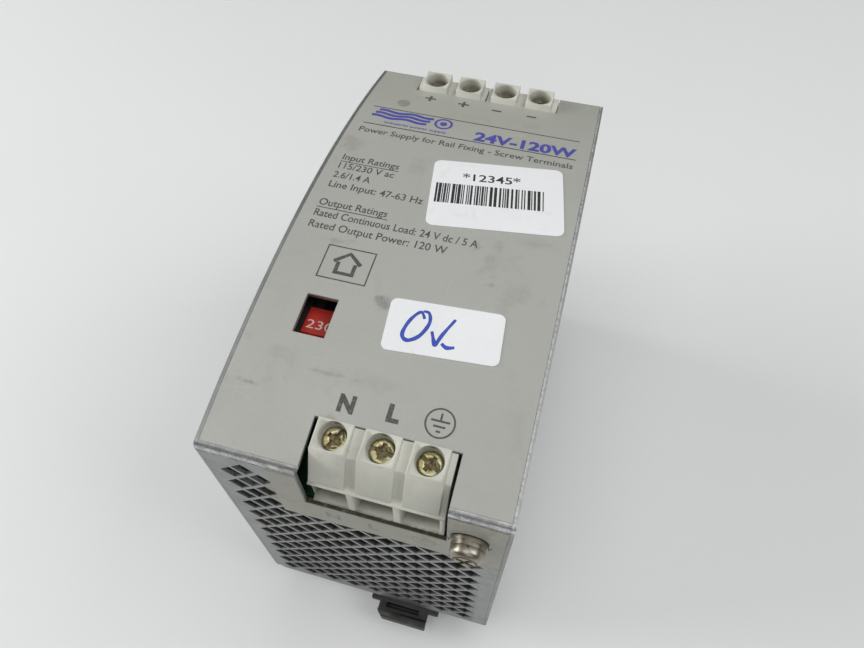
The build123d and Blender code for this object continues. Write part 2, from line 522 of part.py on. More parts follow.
heatsink2 = box(PX, PX + 40.0, 40.5, 42.5, 16.0, 70.0)
export(tag([heatsink1, heatsink2]), "heatsinks")
power_packages += [box(PX + 4, PX + 19.5, 42.55, 47.0, 60.0, 69.5), box(PX + 22, PX + 37.5, 42.55, 47.0, 60.0, 69.5)]
export(tag(power_packages), "power_semiconductors")
ocaps = [cyl_x(5.0, PX + 0.5, PX + 26.0, 51.5, z) for z in (28.0, 39.0, 50.0)]
ocaps = [fillet(c.edges().sort_by(Axis.X)[-1], 0.8) for c in ocaps]
export(tag(ocaps), "output_capacitors")
ind_core = cyl_x(7.2, PX + 29.0, PX + 37.0, 52.0, 42.0) - cyl_x(3.9, PX + 28.0, PX + 38.0, 52.0, 42.0)
export(tag([core, ind_core]), "choke_cores")
windings += toroid_turns(PX + 33.0, 52.0, 42.0, 3.9, 7.2, 4.0, 1.1, range(0, 360, 24))
export(tag(windings), "choke_windings")
export(box(PX, PX + 3.2, 10.0, 26.0, 14.5, 22.0) + box(PX, PX + 2.2, 28.0, 38.0, 15.0, 22.0), "control_chips")

# ---------------------------------------------------------------- rail bracket, latch and spring
cx = CLIP_X
bracket = box(cx - 21.0, cx + 21.0, -30.0, 27.0, 0.5, ZB - 0.02)
# raised pad that rests on the rail, between the two hooks
bracket = bracket + box(cx - 21.0, cx + 21.0, -14.4, 14.4, 0.0, 0.6)
# T-channel that guides the latch, open downwards and towards the rail
bracket = bracket - box(cx - 10.45, cx + 10.45, -31.0, 8.0, 1.9, 4.75)
bracket = bracket - box(cx - 8.3, cx + 8.3, -31.0, -9.0, -1.0, 2.0)
bracket = bracket - box(cx - 2.4, cx + 2.4, -11.9, 4.0, 1.0, 5.6)
# weight-saving pockets on the rail side
for s in (-1, 1):
    a, b = sorted((cx + s * 12.2, cx + s * 19.6))
    bracket = bracket - box(a, b, -14.0, 11.0, -1.0, 2.4)
# fixed hook over the upper rail lip
bracket = bracket + box(cx - 12.5, cx + 12.5, RAIL_H / 2 + 0.25, RAIL_H / 2 + 3.6, -4.0, 0.6)
nose = prism_yz([(RAIL_H / 2 + 0.3, -1.35), (RAIL_H / 2 - 2.6, -1.6), (RAIL_H / 2 - 2.6, -2.6), (RAIL_H / 2 + 0.3, -4.0)], cx - 12.5, cx + 12.5)
bracket = bracket + nose
for x, y in BRACKET_SCREWS:
    bracket = bracket - cyl_z(1.65, -5, ZB + 1, x, y) - cyl_z(3.1, -5, 3.6, x, y)
boss = box(cx - 2.6, cx + 2.6, -16.6, -12.0, 1.9, 4.75)
bracket = bracket + boss + box(cx - 2.6, cx + 2.6, -16.6, -12.0, 4.7, 5.2)
export(bracket, "din_bracket")

b_screws = []
for x, y in BRACKET_SCREWS:
    s1 = cyl_z(2.9, 1.7, 3.55, x, y) + cyl_z(1.5, 3.5, ZB + SHEET + 2.6, x, y)
    s1 = s1 - box(x - 1.8, x + 1.8, y - 0.35, y + 0.35, 1.0, 2.6) - box(x - 0.35, x + 0.35, y - 1.8, y + 1.8, 1.0, 2.6)
    b_screws.append(s1)
export(tag(b_screws), "bracket_screws")
b_nuts = []
for x, y in BRACKET_SCREWS:
    n1 = Pos(x, y, ZB + SHEET + 0.02) * extrude(RegularPolygon(3.1, 6), amount=2.2)
    b_nuts.append(n1 - cyl_z(1.55, ZB, ZB + 5, x, y))
export(tag(b_nuts + [nut]), "fixing_nuts")

# latch: flat tongue in the channel, hook under the lower rail lip, foot below the case
latch = box(cx - 10.15, cx + 10.15, -YE - 0.35, 3.4, 2.05, 4.6)
latch = latch - box(cx - 2.85, cx + 2.85, -21.0, 0.2, 1.0, 6.0)
hook_poly = [(-RAIL_H / 2 - 0.25, 2.2), (-RAIL_H / 2 - 0.25, -1.35), (-RAIL_H / 2 + 2.4, -1.6), (-RAIL_H / 2 + 2.4, -2.3),
             (-RAIL_H / 2 - 1.2, -4.0), (-RAIL_H / 2 - 3.6, -4.0), (-RAIL_H / 2 - 5.6, 0.0), (-RAIL_H / 2 - 5.6, 2.2)]
latch = latch + prism_yz(hook_poly, cx - 8.0, cx + 8.0)
foot = box(cx - 7.4, cx + 7.3, -YE - 5.0, -YE - 0.3, 2.05, 4.6)
lip = prism_yz([(-YE - 2.6, 4.5), (-YE - 3.4, 6.3), (-YE - 5.0, 6.3), (-YE - 5.0, 4.5)], cx - 7.4, cx + 7.3)
foot = foot + lip
foot = foot - box(cx - 5.2, cx + 4.7, -YE - 1.75, -YE - 0.5, 2.75, 6.0)
corner_cut = extrude(make_face(Polyline((cx - 7.5, -YE - 5.1), (cx - 5.6, -YE - 5.1), (cx - 7.5, -YE - 3.2), close=True)), amount=20)
foot = foot - Pos(0, 0, -5) * corner_cut
latch = latch + foot
export(latch, "din_latch")

# latch spring: coil between the fixed boss and the top of the latch's window
turns, r_coil, r_wire = 7, 1.55, 0.3
s_len = 11.9 - 0.1 - 2 * r_wire
coil = Helix(pitch=s_len / turns, height=s_len, radius=r_coil)
section = Plane(origin=coil @ 0, z_dir=coil % 0) * Circle(r_wire)
spring = sweep(section, path=coil)
spring = Pos(cx, 0.1 - r_wire, 3.3) * Rot(90, 0, 0) * spring
export(spring, "latch_spring")
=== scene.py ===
"""Rail-mount power supply: materials, print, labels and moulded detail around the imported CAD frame."""
import json
import math
import random
import bmesh
import bpy
from mathutils import Matrix, Vector


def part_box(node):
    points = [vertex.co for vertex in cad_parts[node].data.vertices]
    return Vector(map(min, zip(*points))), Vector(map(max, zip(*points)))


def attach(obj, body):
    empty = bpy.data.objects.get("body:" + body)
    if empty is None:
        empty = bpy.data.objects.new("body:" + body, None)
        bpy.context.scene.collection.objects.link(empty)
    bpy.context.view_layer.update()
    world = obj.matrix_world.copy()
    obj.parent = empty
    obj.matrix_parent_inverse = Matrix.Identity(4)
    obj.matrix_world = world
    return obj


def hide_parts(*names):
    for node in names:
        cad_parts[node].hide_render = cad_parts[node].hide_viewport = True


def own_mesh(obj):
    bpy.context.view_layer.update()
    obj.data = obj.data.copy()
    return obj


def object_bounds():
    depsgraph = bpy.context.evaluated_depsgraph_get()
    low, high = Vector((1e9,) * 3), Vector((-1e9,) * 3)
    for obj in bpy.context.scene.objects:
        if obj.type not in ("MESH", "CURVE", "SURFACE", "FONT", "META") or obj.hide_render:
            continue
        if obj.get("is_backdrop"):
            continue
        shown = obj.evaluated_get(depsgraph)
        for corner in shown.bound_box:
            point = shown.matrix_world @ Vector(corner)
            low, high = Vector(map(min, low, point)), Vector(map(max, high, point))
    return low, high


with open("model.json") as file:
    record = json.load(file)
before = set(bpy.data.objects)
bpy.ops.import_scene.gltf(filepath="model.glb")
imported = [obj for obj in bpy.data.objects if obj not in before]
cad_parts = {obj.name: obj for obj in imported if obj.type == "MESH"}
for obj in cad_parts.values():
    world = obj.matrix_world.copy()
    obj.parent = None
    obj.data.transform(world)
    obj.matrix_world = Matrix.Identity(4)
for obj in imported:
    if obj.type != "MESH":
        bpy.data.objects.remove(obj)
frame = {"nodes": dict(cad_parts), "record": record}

CAD_LO, CAD_HI = (list(v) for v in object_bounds())
NODES = frame["nodes"]
MM = 0.001

# ------------------------------------------------------------------ the bowed front, in millimetres
HALF_H, BOW, SEAT, DEPTH = 62.0, 7.4, 8.6, 86.0
BOW_R = (HALF_H ** 2 + BOW ** 2) / (2 * BOW)
Z_CREST = SEAT + DEPTH + BOW
Z0 = Z_CREST - BOW_R
HALF_ANGLE = math.asin(HALF_H / BOW_R)
ARC = 1.0069                     # scale between print heights and distance along the arc
FOIL_TOP = 0.2
LABEL_TOP = 0.33


def front(x, a, h):
    """Point on the bowed front: x from the left edge, a up the front, h above the sheet (mm) -> metres."""
    t = a * ARC / BOW_R - HALF_ANGLE
    r = BOW_R + h
    return Vector(((x - 32.0) * MM, r * math.sin(t) * MM, (Z0 + r * math.cos(t)) * MM))


def end_face(x, depth, h):
    """Point on the lower end: x from the left edge, depth behind the front corner, h outwards."""
    return Vector(((x - 32.0) * MM, (-62.0 - h) * MM, (94.6 - depth) * MM))


# ------------------------------------------------------------------ node materials
class Mat:
    """A small builder for procedural materials on object coordinates (metres)."""

    def __init__(self, name):
        self.m = bpy.data.materials.new(name)
        self.m.use_nodes = True
        self.t = self.m.node_tree
        self.t.nodes.clear()
        self.out = self.t.nodes.new("ShaderNodeOutputMaterial")
        self.p = self.t.nodes.new("ShaderNodeBsdfPrincipled")
        self.t.links.new(self.p.outputs[0], self.out.inputs[0])
        self.co = self.t.nodes.new("ShaderNodeTexCoord").outputs["Object"]
        self.height = None

    def link(self, a, b):
        self.t.links.new(a, b)

    def put(self, socket, value):
        if hasattr(value, "links"):
            self.t.links.new(value, socket)
        elif isinstance(value, (tuple, list)) and len(value) == 3 and socket.type == "RGBA":
            socket.default_value = (*value, 1.0)
        else:
            socket.default_value = value

    def setp(self, **kw):
        for k, v in kw.items():
            self.put(self.p.inputs[k.replace("_", " ")], v)
        return self

    def scaled(self, sx, sy, sz, rot=(0, 0, 0), loc=(0, 0, 0)):
        n = self.t.nodes.new("ShaderNodeMapping")
        n.inputs["Scale"].default_value = (sx, sy, sz)
        n.inputs["Rotation"].default_value = rot
        n.inputs["Location"].default_value = loc
        self.link(self.co, n.inputs[0])
        return n.outputs[0]

    def noise(self, scale, detail=3.0, rough=0.55, distort=0.0, vec=None):
        n = self.t.nodes.new("ShaderNodeTexNoise")
        n.inputs["Scale"].default_value = scale
        n.inputs["Detail"].default_value = detail
        n.inputs["Roughness"].default_value = rough
        n.inputs["Distortion"].default_value = distort
        self.link(vec if vec is not None else self.co, n.inputs["Vector"])
        return n.outputs["Fac"]

    def voronoi(self, scale, feature="F1", vec=None, out="Distance", rand=1.0):
        n = self.t.nodes.new("ShaderNodeTexVoronoi")
        n.feature = feature
        n.inputs["Scale"].default_value = scale
        n.inputs["Randomness"].default_value = rand
        self.link(vec if vec is not None else self.co, n.inputs["Vector"])
        return n.outputs[out]

    def ramp(self, fac, *stops):
        n = self.t.nodes.new("ShaderNodeValToRGB")
        e = n.color_ramp.elements
        while len(e) < len(stops):
            e.new(0.5)
        for el, (pos, col) in zip(e, stops):
            el.position = pos
            el.color = (*col, 1.0) if isinstance(col, (tuple, list)) else (col, col, col, 1.0)
        self.link(fac, n.inputs[0])
        return n.outputs[0]

    def rng(self, v, a, b, c=0.0, d=1.0, smooth=False):
        n = self.t.nodes.new("ShaderNodeMapRange")
        n.clamp = True
        if smooth:
            n.interpolation_type = "SMOOTHSTEP"
        for i, x in enumerate((v, a, b, c, d)):
            self.put(n.inputs[i], x)
        return n.outputs[0]

    def math(self, op, a, b=0.0, clamp=False):
        n = self.t.nodes.new("ShaderNodeMath")
        n.operation = op
        n.use_clamp = clamp
        self.put(n.inputs[0], a)
        self.put(n.inputs[1], b)
        return n.outputs[0]

    def mix(self, fac, a, b, mode="MIX"):
        n = self.t.nodes.new("ShaderNodeMix")
        n.data_type = "RGBA"
        n.blend_type = mode
        self.put(n.inputs[0], fac)
        self.put(n.inputs[6], a)
        self.put(n.inputs[7], b)
        return n.outputs[2]

    def xyz(self):
        n = self.t.nodes.new("ShaderNodeSeparateXYZ")
        self.link(self.co, n.inputs[0])
        return n.outputs

    def spot(self, centre, radii, wobble=0.0, wscale=300.0):
        """1 at centre, falling to 0 at the ellipsoid's edge (metres)."""
        n = self.t.nodes.new("ShaderNodeMapping")
        n.inputs["Location"].default_value = tuple(-c / r for c, r in zip(centre, radii))
        n.inputs["Scale"].default_value = tuple(1.0 / r for r in radii)
        self.link(self.co, n.inputs[0])
        ln = self.t.nodes.new("ShaderNodeVectorMath")
        ln.operation = "LENGTH"
        self.link(n.outputs[0], ln.inputs[0])
        d = ln.outputs["Value"]
        if wobble:
            d = self.math("ADD", d, self.rng(self.noise(wscale, 4, 0.6), 0.3, 0.7, -wobble, wobble))
        return self.rng(d, 0.0, 1.0, 1.0, 0.0, smooth=True)

    def bump(self, height, strength, dist=0.0002):
        n = self.t.nodes.new("ShaderNodeBump")
        n.inputs["Strength"].default_value = strength
        n.inputs["Distance"].default_value = dist
        self.put(n.inputs["Height"], height)
        self.link(n.outputs[0], self.p.inputs["Normal"])
        return self


def srgb(r, g, b):
    f = lambda c: (c / 255 / 12.92) if c <= 10 else (((c / 255) + 0.055) / 1.055) ** 2.4
    return (f(r), f(g), f(b))


def tint(c, k):
    return tuple(max(0.0, min(1.0, v * k)) for v in c)


def plastic(name, col, rough=0.5, var=0.06, grain=1800.0, bump=0.05, spec=0.5, dirt=None, dirt_amount=0.25):
    """Moulded plastic: slow tone change, fine spark texture, handling grime."""
    m = Mat(name)
    n1 = m.noise(45.0, 4, 0.6)
    c = m.mix(m.rng(n1, 0.3, 0.7), tint(col, 1 - var), tint(col, 1 + var))
    if dirt:
        g = m.rng(m.noise(160.0, 6, 0.68, 0.4), 0.50, 0.78, 0.0, dirt_amount, smooth=True)
        c = m.mix(g, c, dirt)
    m.setp(Base_Color=c, Roughness=m.rng(m.noise(420.0, 3, 0.5), 0.3, 0.7, rough - 0.07, rough + 0.08))
    m.p.inputs["Specular IOR Level"].default_value = spec
    m.bump(m.noise(grain, 2, 0.5), bump, 0.0001)
    return m.m


def metal(name, col, rough=0.32, var=0.12, brushed=None, bump=0.05, tarnish=None, tarnish_amount=0.3, metallic=1.0):
    m = Mat(name)
    vec = m.scaled(*brushed) if brushed else None
    n1 = m.noise(1.0 if brushed else 240.0, 5, 0.6, 0.0, vec)
    n2 = m.noise(70.0, 5, 0.65)
    c = m.mix(m.rng(n1, 0.3, 0.7), tint(col, 1 - var), tint(col, 1 + var))
    if tarnish:
        c = m.mix(m.rng(n2, 0.42, 0.72, 0.0, tarnish_amount, smooth=True), c, tarnish)
    m.setp(Base_Color=c, Metallic=metallic, Roughness=m.rng(m.math("ADD", n1, n2), 0.6, 1.4, rough - 0.08, rough + 0.14))
    m.bump(n1, bump, 0.0001)
    return m.m


# ---- zinc-plated sheet: dull grey, rolled grain, dusty film, worn bright along the folds
def zinc_sheet():
    m = Mat("zinc_sheet")
    x, y, z = m.xyz()
    roll = m.noise(1.0, 4, 0.6, 0.0, m.scaled(260.0, 5200.0, 260.0))
    roll2 = m.noise(1.0, 3, 0.6, 0.0, m.scaled(2600.0, 300.0, 700.0))
    cloud = m.noise(55.0, 5, 0.62, 0.3)
    base = m.mix(m.rng(cloud, 0.3, 0.7), (0.255, 0.260, 0.256), (0.340, 0.345, 0.341))
    base = m.mix(m.rng(roll2, 0.35, 0.68, 0.0, 0.35), base, (0.425, 0.435, 0.43))
    dust = m.rng(m.noise(210.0, 6, 0.7), 0.55, 0.80, 0.0, 0.35, smooth=True)
    base = m.mix(dust, base, (0.20, 0.195, 0.175))
    # bright bare metal where the front folds into the lower end, broken by the dark edge of the plating
    low = m.math("MULTIPLY", m.rng(y, -0.0620, -0.0604, 1.0, 0.0, smooth=True), m.rng(z, 0.0922, 0.0938, 0.0, 1.0, smooth=True))
    chip = m.math("MULTIPLY", m.rng(m.noise(620.0, 5, 0.7, 0.6), 0.40, 0.60, 0.30, 1.0, smooth=True), m.rng(m.noise(2400.0, 3, 0.7), 0.38, 0.52, 0.35, 1.0, smooth=True))
    worn = m.math("MULTIPLY", low, chip, clamp=True)
    base = m.mix(m.math("MULTIPLY", worn, 0.85), base, (0.78, 0.79, 0.79))
    # painted shadow: a dark broken line just behind the fold, the shade in the gap under it
    seam_z = m.math("ABSOLUTE", m.math("ADD", m.math("SUBTRACT", z, 0.09268), m.rng(m.noise(380.0, 3, 0.5), 0.3, 0.7, -0.00016, 0.00016)))
    seam = m.math("MULTIPLY", m.rng(seam_z, 0.00012, 0.00034, 1.0, 0.0, smooth=True), m.rng(y, -0.0615, -0.0612, 1.0, 0.0))
    seam = m.math("MULTIPLY", seam, m.rng(m.noise(900.0, 3, 0.6), 0.40, 0.56, 0.0, 1.0, smooth=True))
    base = m.mix(m.math("MULTIPLY", seam, 0.8), base, (0.045, 0.04, 0.035))
    # side walls worn to a bright rim where they meet the bowed front
    zz = m.math("SUBTRACT", z, Z0 * MM)
    r2 = m.math("ADD", m.math("MULTIPLY", y, y), m.math("MULTIPLY", zz, zz))
    rim = m.math("MULTIPLY", m.rng(r2, (BOW_R * MM - 0.00045) ** 2, (BOW_R * MM - 0.00015) ** 2, 0.0, 1.0, smooth=True),
                 m.rng(m.math("ABSOLUTE", x), 0.03105, 0.03118, 0.0, 1.0))
    rimchip = m.rng(m.noise(1300.0, 4, 0.7), 0.40, 0.58, 0.25, 1.0, smooth=True)
    inner = m.rng(m.math("ABSOLUTE", x), 0.03145, 0.03170, 1.0, 0.25, smooth=True)
    rim = m.math("MULTIPLY", m.math("MULTIPLY", rim, rimchip), inner)
    rim = m.math("MULTIPLY", rim, m.rng(x, -0.010, 0.010, 0.12, 1.0))
    base = m.mix(m.math("MULTIPLY", rim, 0.85), base, (0.74, 0.75, 0.74))
    # painted shadow: the sheared edge of the sheet below the mains terminals is painted dark brown, standing for the
    # shade in the gap under the housing
    sheet_edge_shadow = m.math("MULTIPLY", m.rng(z, 0.07815, 0.07835, 0.0, 1.0), m.rng(z, 0.07842, 0.0787, 1.0, 0.0))
    sheet_edge_shadow = m.math("MULTIPLY", sheet_edge_shadow, m.rng(y, -0.0621, -0.0610, 1.0, 1.0))
    sheet_edge_shadow = m.math("MULTIPLY", sheet_edge_shadow, m.rng(y, -0.0605, -0.0600, 1.0, 0.0))
    sheet_edge_shadow = m.math("MULTIPLY", sheet_edge_shadow, m.rng(x, 0.0193, 0.0197, 1.0, 0.0))
    sheet_edge_shadow = m.math("MULTIPLY", sheet_edge_shadow, m.rng(x, -0.0116, -0.0110, 0.0, 1.0))
    sheet_edge_shadow = m.math("MULTIPLY", sheet_edge_shadow, m.rng(m.noise(500.0, 5, 0.7), 0.30, 0.50, 0.55, 1.0, smooth=True))
    base = m.mix(m.math("MULTIPLY", sheet_edge_shadow, 0.96), base, (0.050, 0.036, 0.020))
    # painted shade with some dust: the punched walls of the vents and the inside of the case are painted darker than
    # the outer skin
    ax, ay = m.math("ABSOLUTE", x), m.math("ABSOLUTE", y)
    wall = m.math("MULTIPLY", m.rng(ay, 0.06190, 0.06145, 0.0, 1.0, smooth=True), m.rng(ay, 0.06110, 0.06118, 0.0, 1.0))
    wall = m.math("MULTIPLY", wall, m.math("MULTIPLY", m.rng(ax, 0.03040, 0.03060, 1.0, 0.0), m.rng(z, 0.0770, 0.0776, 1.0, 0.0)))
    inside = m.math("MULTIPLY", m.rng(ax, 0.03105, 0.03125, 1.0, 0.0), m.rng(ay, 0.06112, 0.06122, 1.0, 0.0))
    inside = m.math("MULTIPLY", inside, m.rng(r2, (BOW_R * MM - 0.0010) ** 2, (BOW_R * MM - 0.0009) ** 2, 1.0, 0.0))
    dull = m.math("MAXIMUM", m.math("MULTIPLY", wall, 0.62), m.math("MULTIPLY", inside, 0.62))
    base = m.mix(dull, base, (0.060, 0.060, 0.056))
    # the bars of the vents darken towards the rail
    bars = m.math("MULTIPLY", m.rng(ay, 0.06185, 0.06195, 0.0, 1.0), m.rng(ax, 0.0272, 0.0286, 1.0, 0.0, smooth=True))
    bars = m.math("MULTIPLY", bars, m.rng(z, 0.068, 0.014, 0.0, 0.34, smooth=True))
    base = m.mix(bars, base, (0.085, 0.085, 0.080))
    rough = m.rng(m.math("ADD", roll, m.math("MULTIPLY", cloud, 0.6)), 0.55, 1.05, 0.36, 0.56)
    rough = m.math("SUBTRACT", rough, m.math("MULTIPLY", worn, 0.16))
    rough = m.math("ADD", rough, m.math("MULTIPLY", m.math("MAXIMUM", sheet_edge_shadow, rim), 0.25))
    m.setp(Base_Color=base, Metallic=m.math("SUBTRACT", m.rng(dust, 0.0, 0.35, 0.86, 0.55), m.math("MULTIPLY", m.math("MAXIMUM", sheet_edge_shadow, m.math("MULTIPLY", rim, 0.6)), 0.6)), Roughness=rough)
    m.bump(m.math("ADD", roll, m.math("MULTIPLY", roll2, 0.5)), 0.10, 0.0001)
    return m.m


# ---- printed front foil: warm grey satin film with grime, stains and fine scratches
def front_foil():
    m = Mat("front_foil")
    base_c = srgb(175, 176, 170)
    cloud = m.noise(26.0, 5, 0.6, 0.5)
    c = m.mix(m.rng(cloud, 0.3, 0.7), tint(base_c, 0.945), tint(base_c, 1.05))
    fine = m.noise(900.0, 3, 0.6)
    c = m.mix(m.rng(fine, 0.3, 0.7, 0.0, 0.15), c, tint(base_c, 0.80))
    c = m.mix(m.rng(m.noise(2100.0, 2, 0.6), 0.56, 0.74, 0.0, 0.22), c, tint(base_c, 0.66))
    # grime that gathers in the embossed grain
    grime = m.rng(m.noise(120.0, 7, 0.72, 0.8), 0.52, 0.80, 0.0, 0.30, smooth=True)
    c = m.mix(grime, c, srgb(140, 138, 124))

    def stain(x, a, rx, ra, col, amount, wobble=0.5, wscale=260.0):
        nonlocal c
        p = front(x, a, FOIL_TOP)
        s = m.spot(p, (rx * MM, ra * MM, 0.02), wobble, wscale)
        s = m.math("MULTIPLY", s, m.rng(m.noise(wscale * 2.2, 5, 0.7), 0.32, 0.66, 0.25, 1.0))
        c = m.mix(m.math("MULTIPLY", s, amount), c, col)

    brown = srgb(128, 120, 98)
    grey = srgb(96, 97, 94)
    stain(27.6, 38.2, 3.0, 2.4, grey, 0.85, 0.35)       # dark smear beside the white label
    stain(47.5, 54.0, 7.5, 5.5, brown, 0.50, 0.8)
    stain(53.0, 46.0, 6.0, 6.0, brown, 0.42, 0.8)
    stain(12.0, 51.4, 4.0, 1.4, brown, 0.55, 0.6)
    stain(15.5, 52.2, 1.8, 1.0, brown, 0.45, 0.5)
    stain(5.0, 83.0, 4.6, 4.0, brown, 0.50, 0.7)
    stain(24.5, 79.0, 3.6, 5.0, brown, 0.40, 0.7)
    stain(47.0, 105.0, 4.5, 2.6, brown, 0.36, 0.7)
    stain(56.0, 61.5, 6.0, 2.5, brown, 0.36, 0.6)
    stain(30.0, 103.5, 9.0, 3.0, brown, 0.25, 0.7)
    stain(59.0, 20.0, 5.0, 12.0, brown, 0.20, 0.7)
    stain(30.0, 20.5, 9.0, 3.0, grey, 0.16, 0.7)
    stain(11.0, 22.5, 4.0, 2.5, brown, 0.25, 0.7)
    stain(26.4, 39.3, 2.3, 0.9, grey, 0.75, 0.4)
    stain(5.8, 14.7, 3.4, 0.8, grey, 0.50, 0.6)
    stain(22.0, 20.2, 8.5, 0.5, grey, 0.30, 0.5)
    stain(46.5, 58.5, 4.5, 2.2, brown, 0.45, 0.8)
    stain(24.2, 10.6, 2.2, 2.4, brown, 0.50, 0.6)       # dirt pushed up against the mains terminals
    stain(31.4, 10.2, 2.0, 1.6, brown, 0.55, 0.6)
    stain(41.2, 10.0, 2.0, 1.6, brown, 0.50, 0.6)
    # painted shade: the upper third a little darker and yellower
    x, y, z = m.xyz()
    c = m.mix(m.rng(y, 0.010, 0.058, 0.0, 0.45, smooth=True), c, srgb(160, 159, 140))
    # painted shade: the foil darkens towards the top and the right, so the lower left stays a little lighter than the
    # rest
    painted_shade_gradient = m.math("MAXIMUM", m.rng(y, -0.046, -0.010, 0.0, 0.36, smooth=True), m.rng(x, -0.010, 0.022, 0.0, 0.46, smooth=True))
    c = m.mix(painted_shade_gradient, c, tint(base_c, 0.84))
    # sparse hairline scratches
    s1 = m.voronoi(34.0, "DISTANCE_TO_EDGE", m.scaled(5.0, 0.8, 1.0, (0, 0, 0.9)))
    s2 = m.voronoi(30.0, "DISTANCE_TO_EDGE", m.scaled(0.7, 4.2, 1.0, (0, 0, 0.35), (3.1, 1.7, 0)))
    gate = m.rng(m.noise(75.0, 2, 0.5), 0.55, 0.68, 0.0, 1.0, smooth=True)
    scr = m.math("MULTIPLY", m.math("ADD", m.rng(s1, 0.0, 0.006, 1.0, 0.0), m.rng(s2, 0.0, 0.006, 1.0, 0.0), clamp=True), gate)
    c = m.mix(m.math("MULTIPLY", scr, 0.35), c, srgb(205, 206, 202))
    m.setp(Base_Color=c, Roughness=m.rng(m.math("ADD", cloud, grime), 0.3, 0.95, 0.40, 0.60))
    m.p.inputs["Specular IOR Level"].default_value = 0.42
    h = m.math("SUBTRACT", m.math("MULTIPLY", m.voronoi(3400.0), 0.5), m.math("MULTIPLY", scr, 0.6))
    m.bump(h, 0.10, 0.0001)
    return m.m


def end_foil():
    m = Mat("end_foil")
    base_c = srgb(168, 167, 156)
    cloud = m.noise(60.0, 6, 0.65, 0.6)
    c = m.mix(m.rng(cloud, 0.3, 0.7), tint(base_c, 0.86), tint(base_c, 1.07))
    g = m.rng(m.noise(230.0, 7, 0.7, 0.6), 0.50, 0.76, 0.0, 0.42, smooth=True)
    c = m.mix(g, c, srgb(112, 108, 94))
    m.setp(Base_Color=c, Roughness=m.rng(cloud, 0.3, 0.7, 0.40, 0.58))
    m.p.inputs["Specular IOR Level"].default_value = 0.40
    m.bump(m.voronoi(3000.0), 0.08, 0.0001)
    return m.m


def label_paper():
    m = Mat("label_paper")
    base_c = (0.83, 0.845, 0.855)
    c = m.mix(m.rng(m.noise(55.0, 4, 0.6), 0.3, 0.7), tint(base_c, 0.965), tint(base_c, 1.02))
    g = m.rng(m.noise(150.0, 7, 0.7, 1.2), 0.56, 0.80, 0.0, 0.28, smooth=True)
    c = m.mix(g, c, srgb(176, 172, 156))
    fib = m.noise(1.0, 3, 0.6, 0.0, m.scaled(900.0, 2600.0, 900.0, (0, 0, 0.6)))
    c = m.mix(m.rng(fib, 0.35, 0.7, 0.0, 0.06), c, (0.62, 0.63, 0.64))
    m.setp(Base_Color=c, Roughness=m.rng(fib, 0.3, 0.7, 0.36, 0.50))
    m.p.inputs["Specular IOR Level"].default_value = 0.45
    wr = m.noise(85.0, 3, 0.5, 1.0)
    m.bump(m.math("ADD", m.math("MULTIPLY", fib, 0.3), m.math("MULTIPLY", wr, 1.2)), 0.12, 0.0003)
    return m.m


def ink(name, col, wear=0.2, under=srgb(165, 166, 160), rough=0.5):
    m = Mat(name)
    w = m.rng(m.noise(1500.0, 4, 0.7), 0.45, 0.78, 0.0, wear, smooth=True)
    c = m.mix(w, m.mix(m.rng(m.noise(300.0, 3, 0.5), 0.3, 0.7), tint(col, 0.88), tint(col, 1.12)), under)
    m.setp(Base_Color=c, Roughness=m.rng(w, 0.0, 1.0, rough, rough + 0.12))
    m.bump(m.noise(2600.0, 2, 0.5), 0.04, 0.00005)
    return m.m


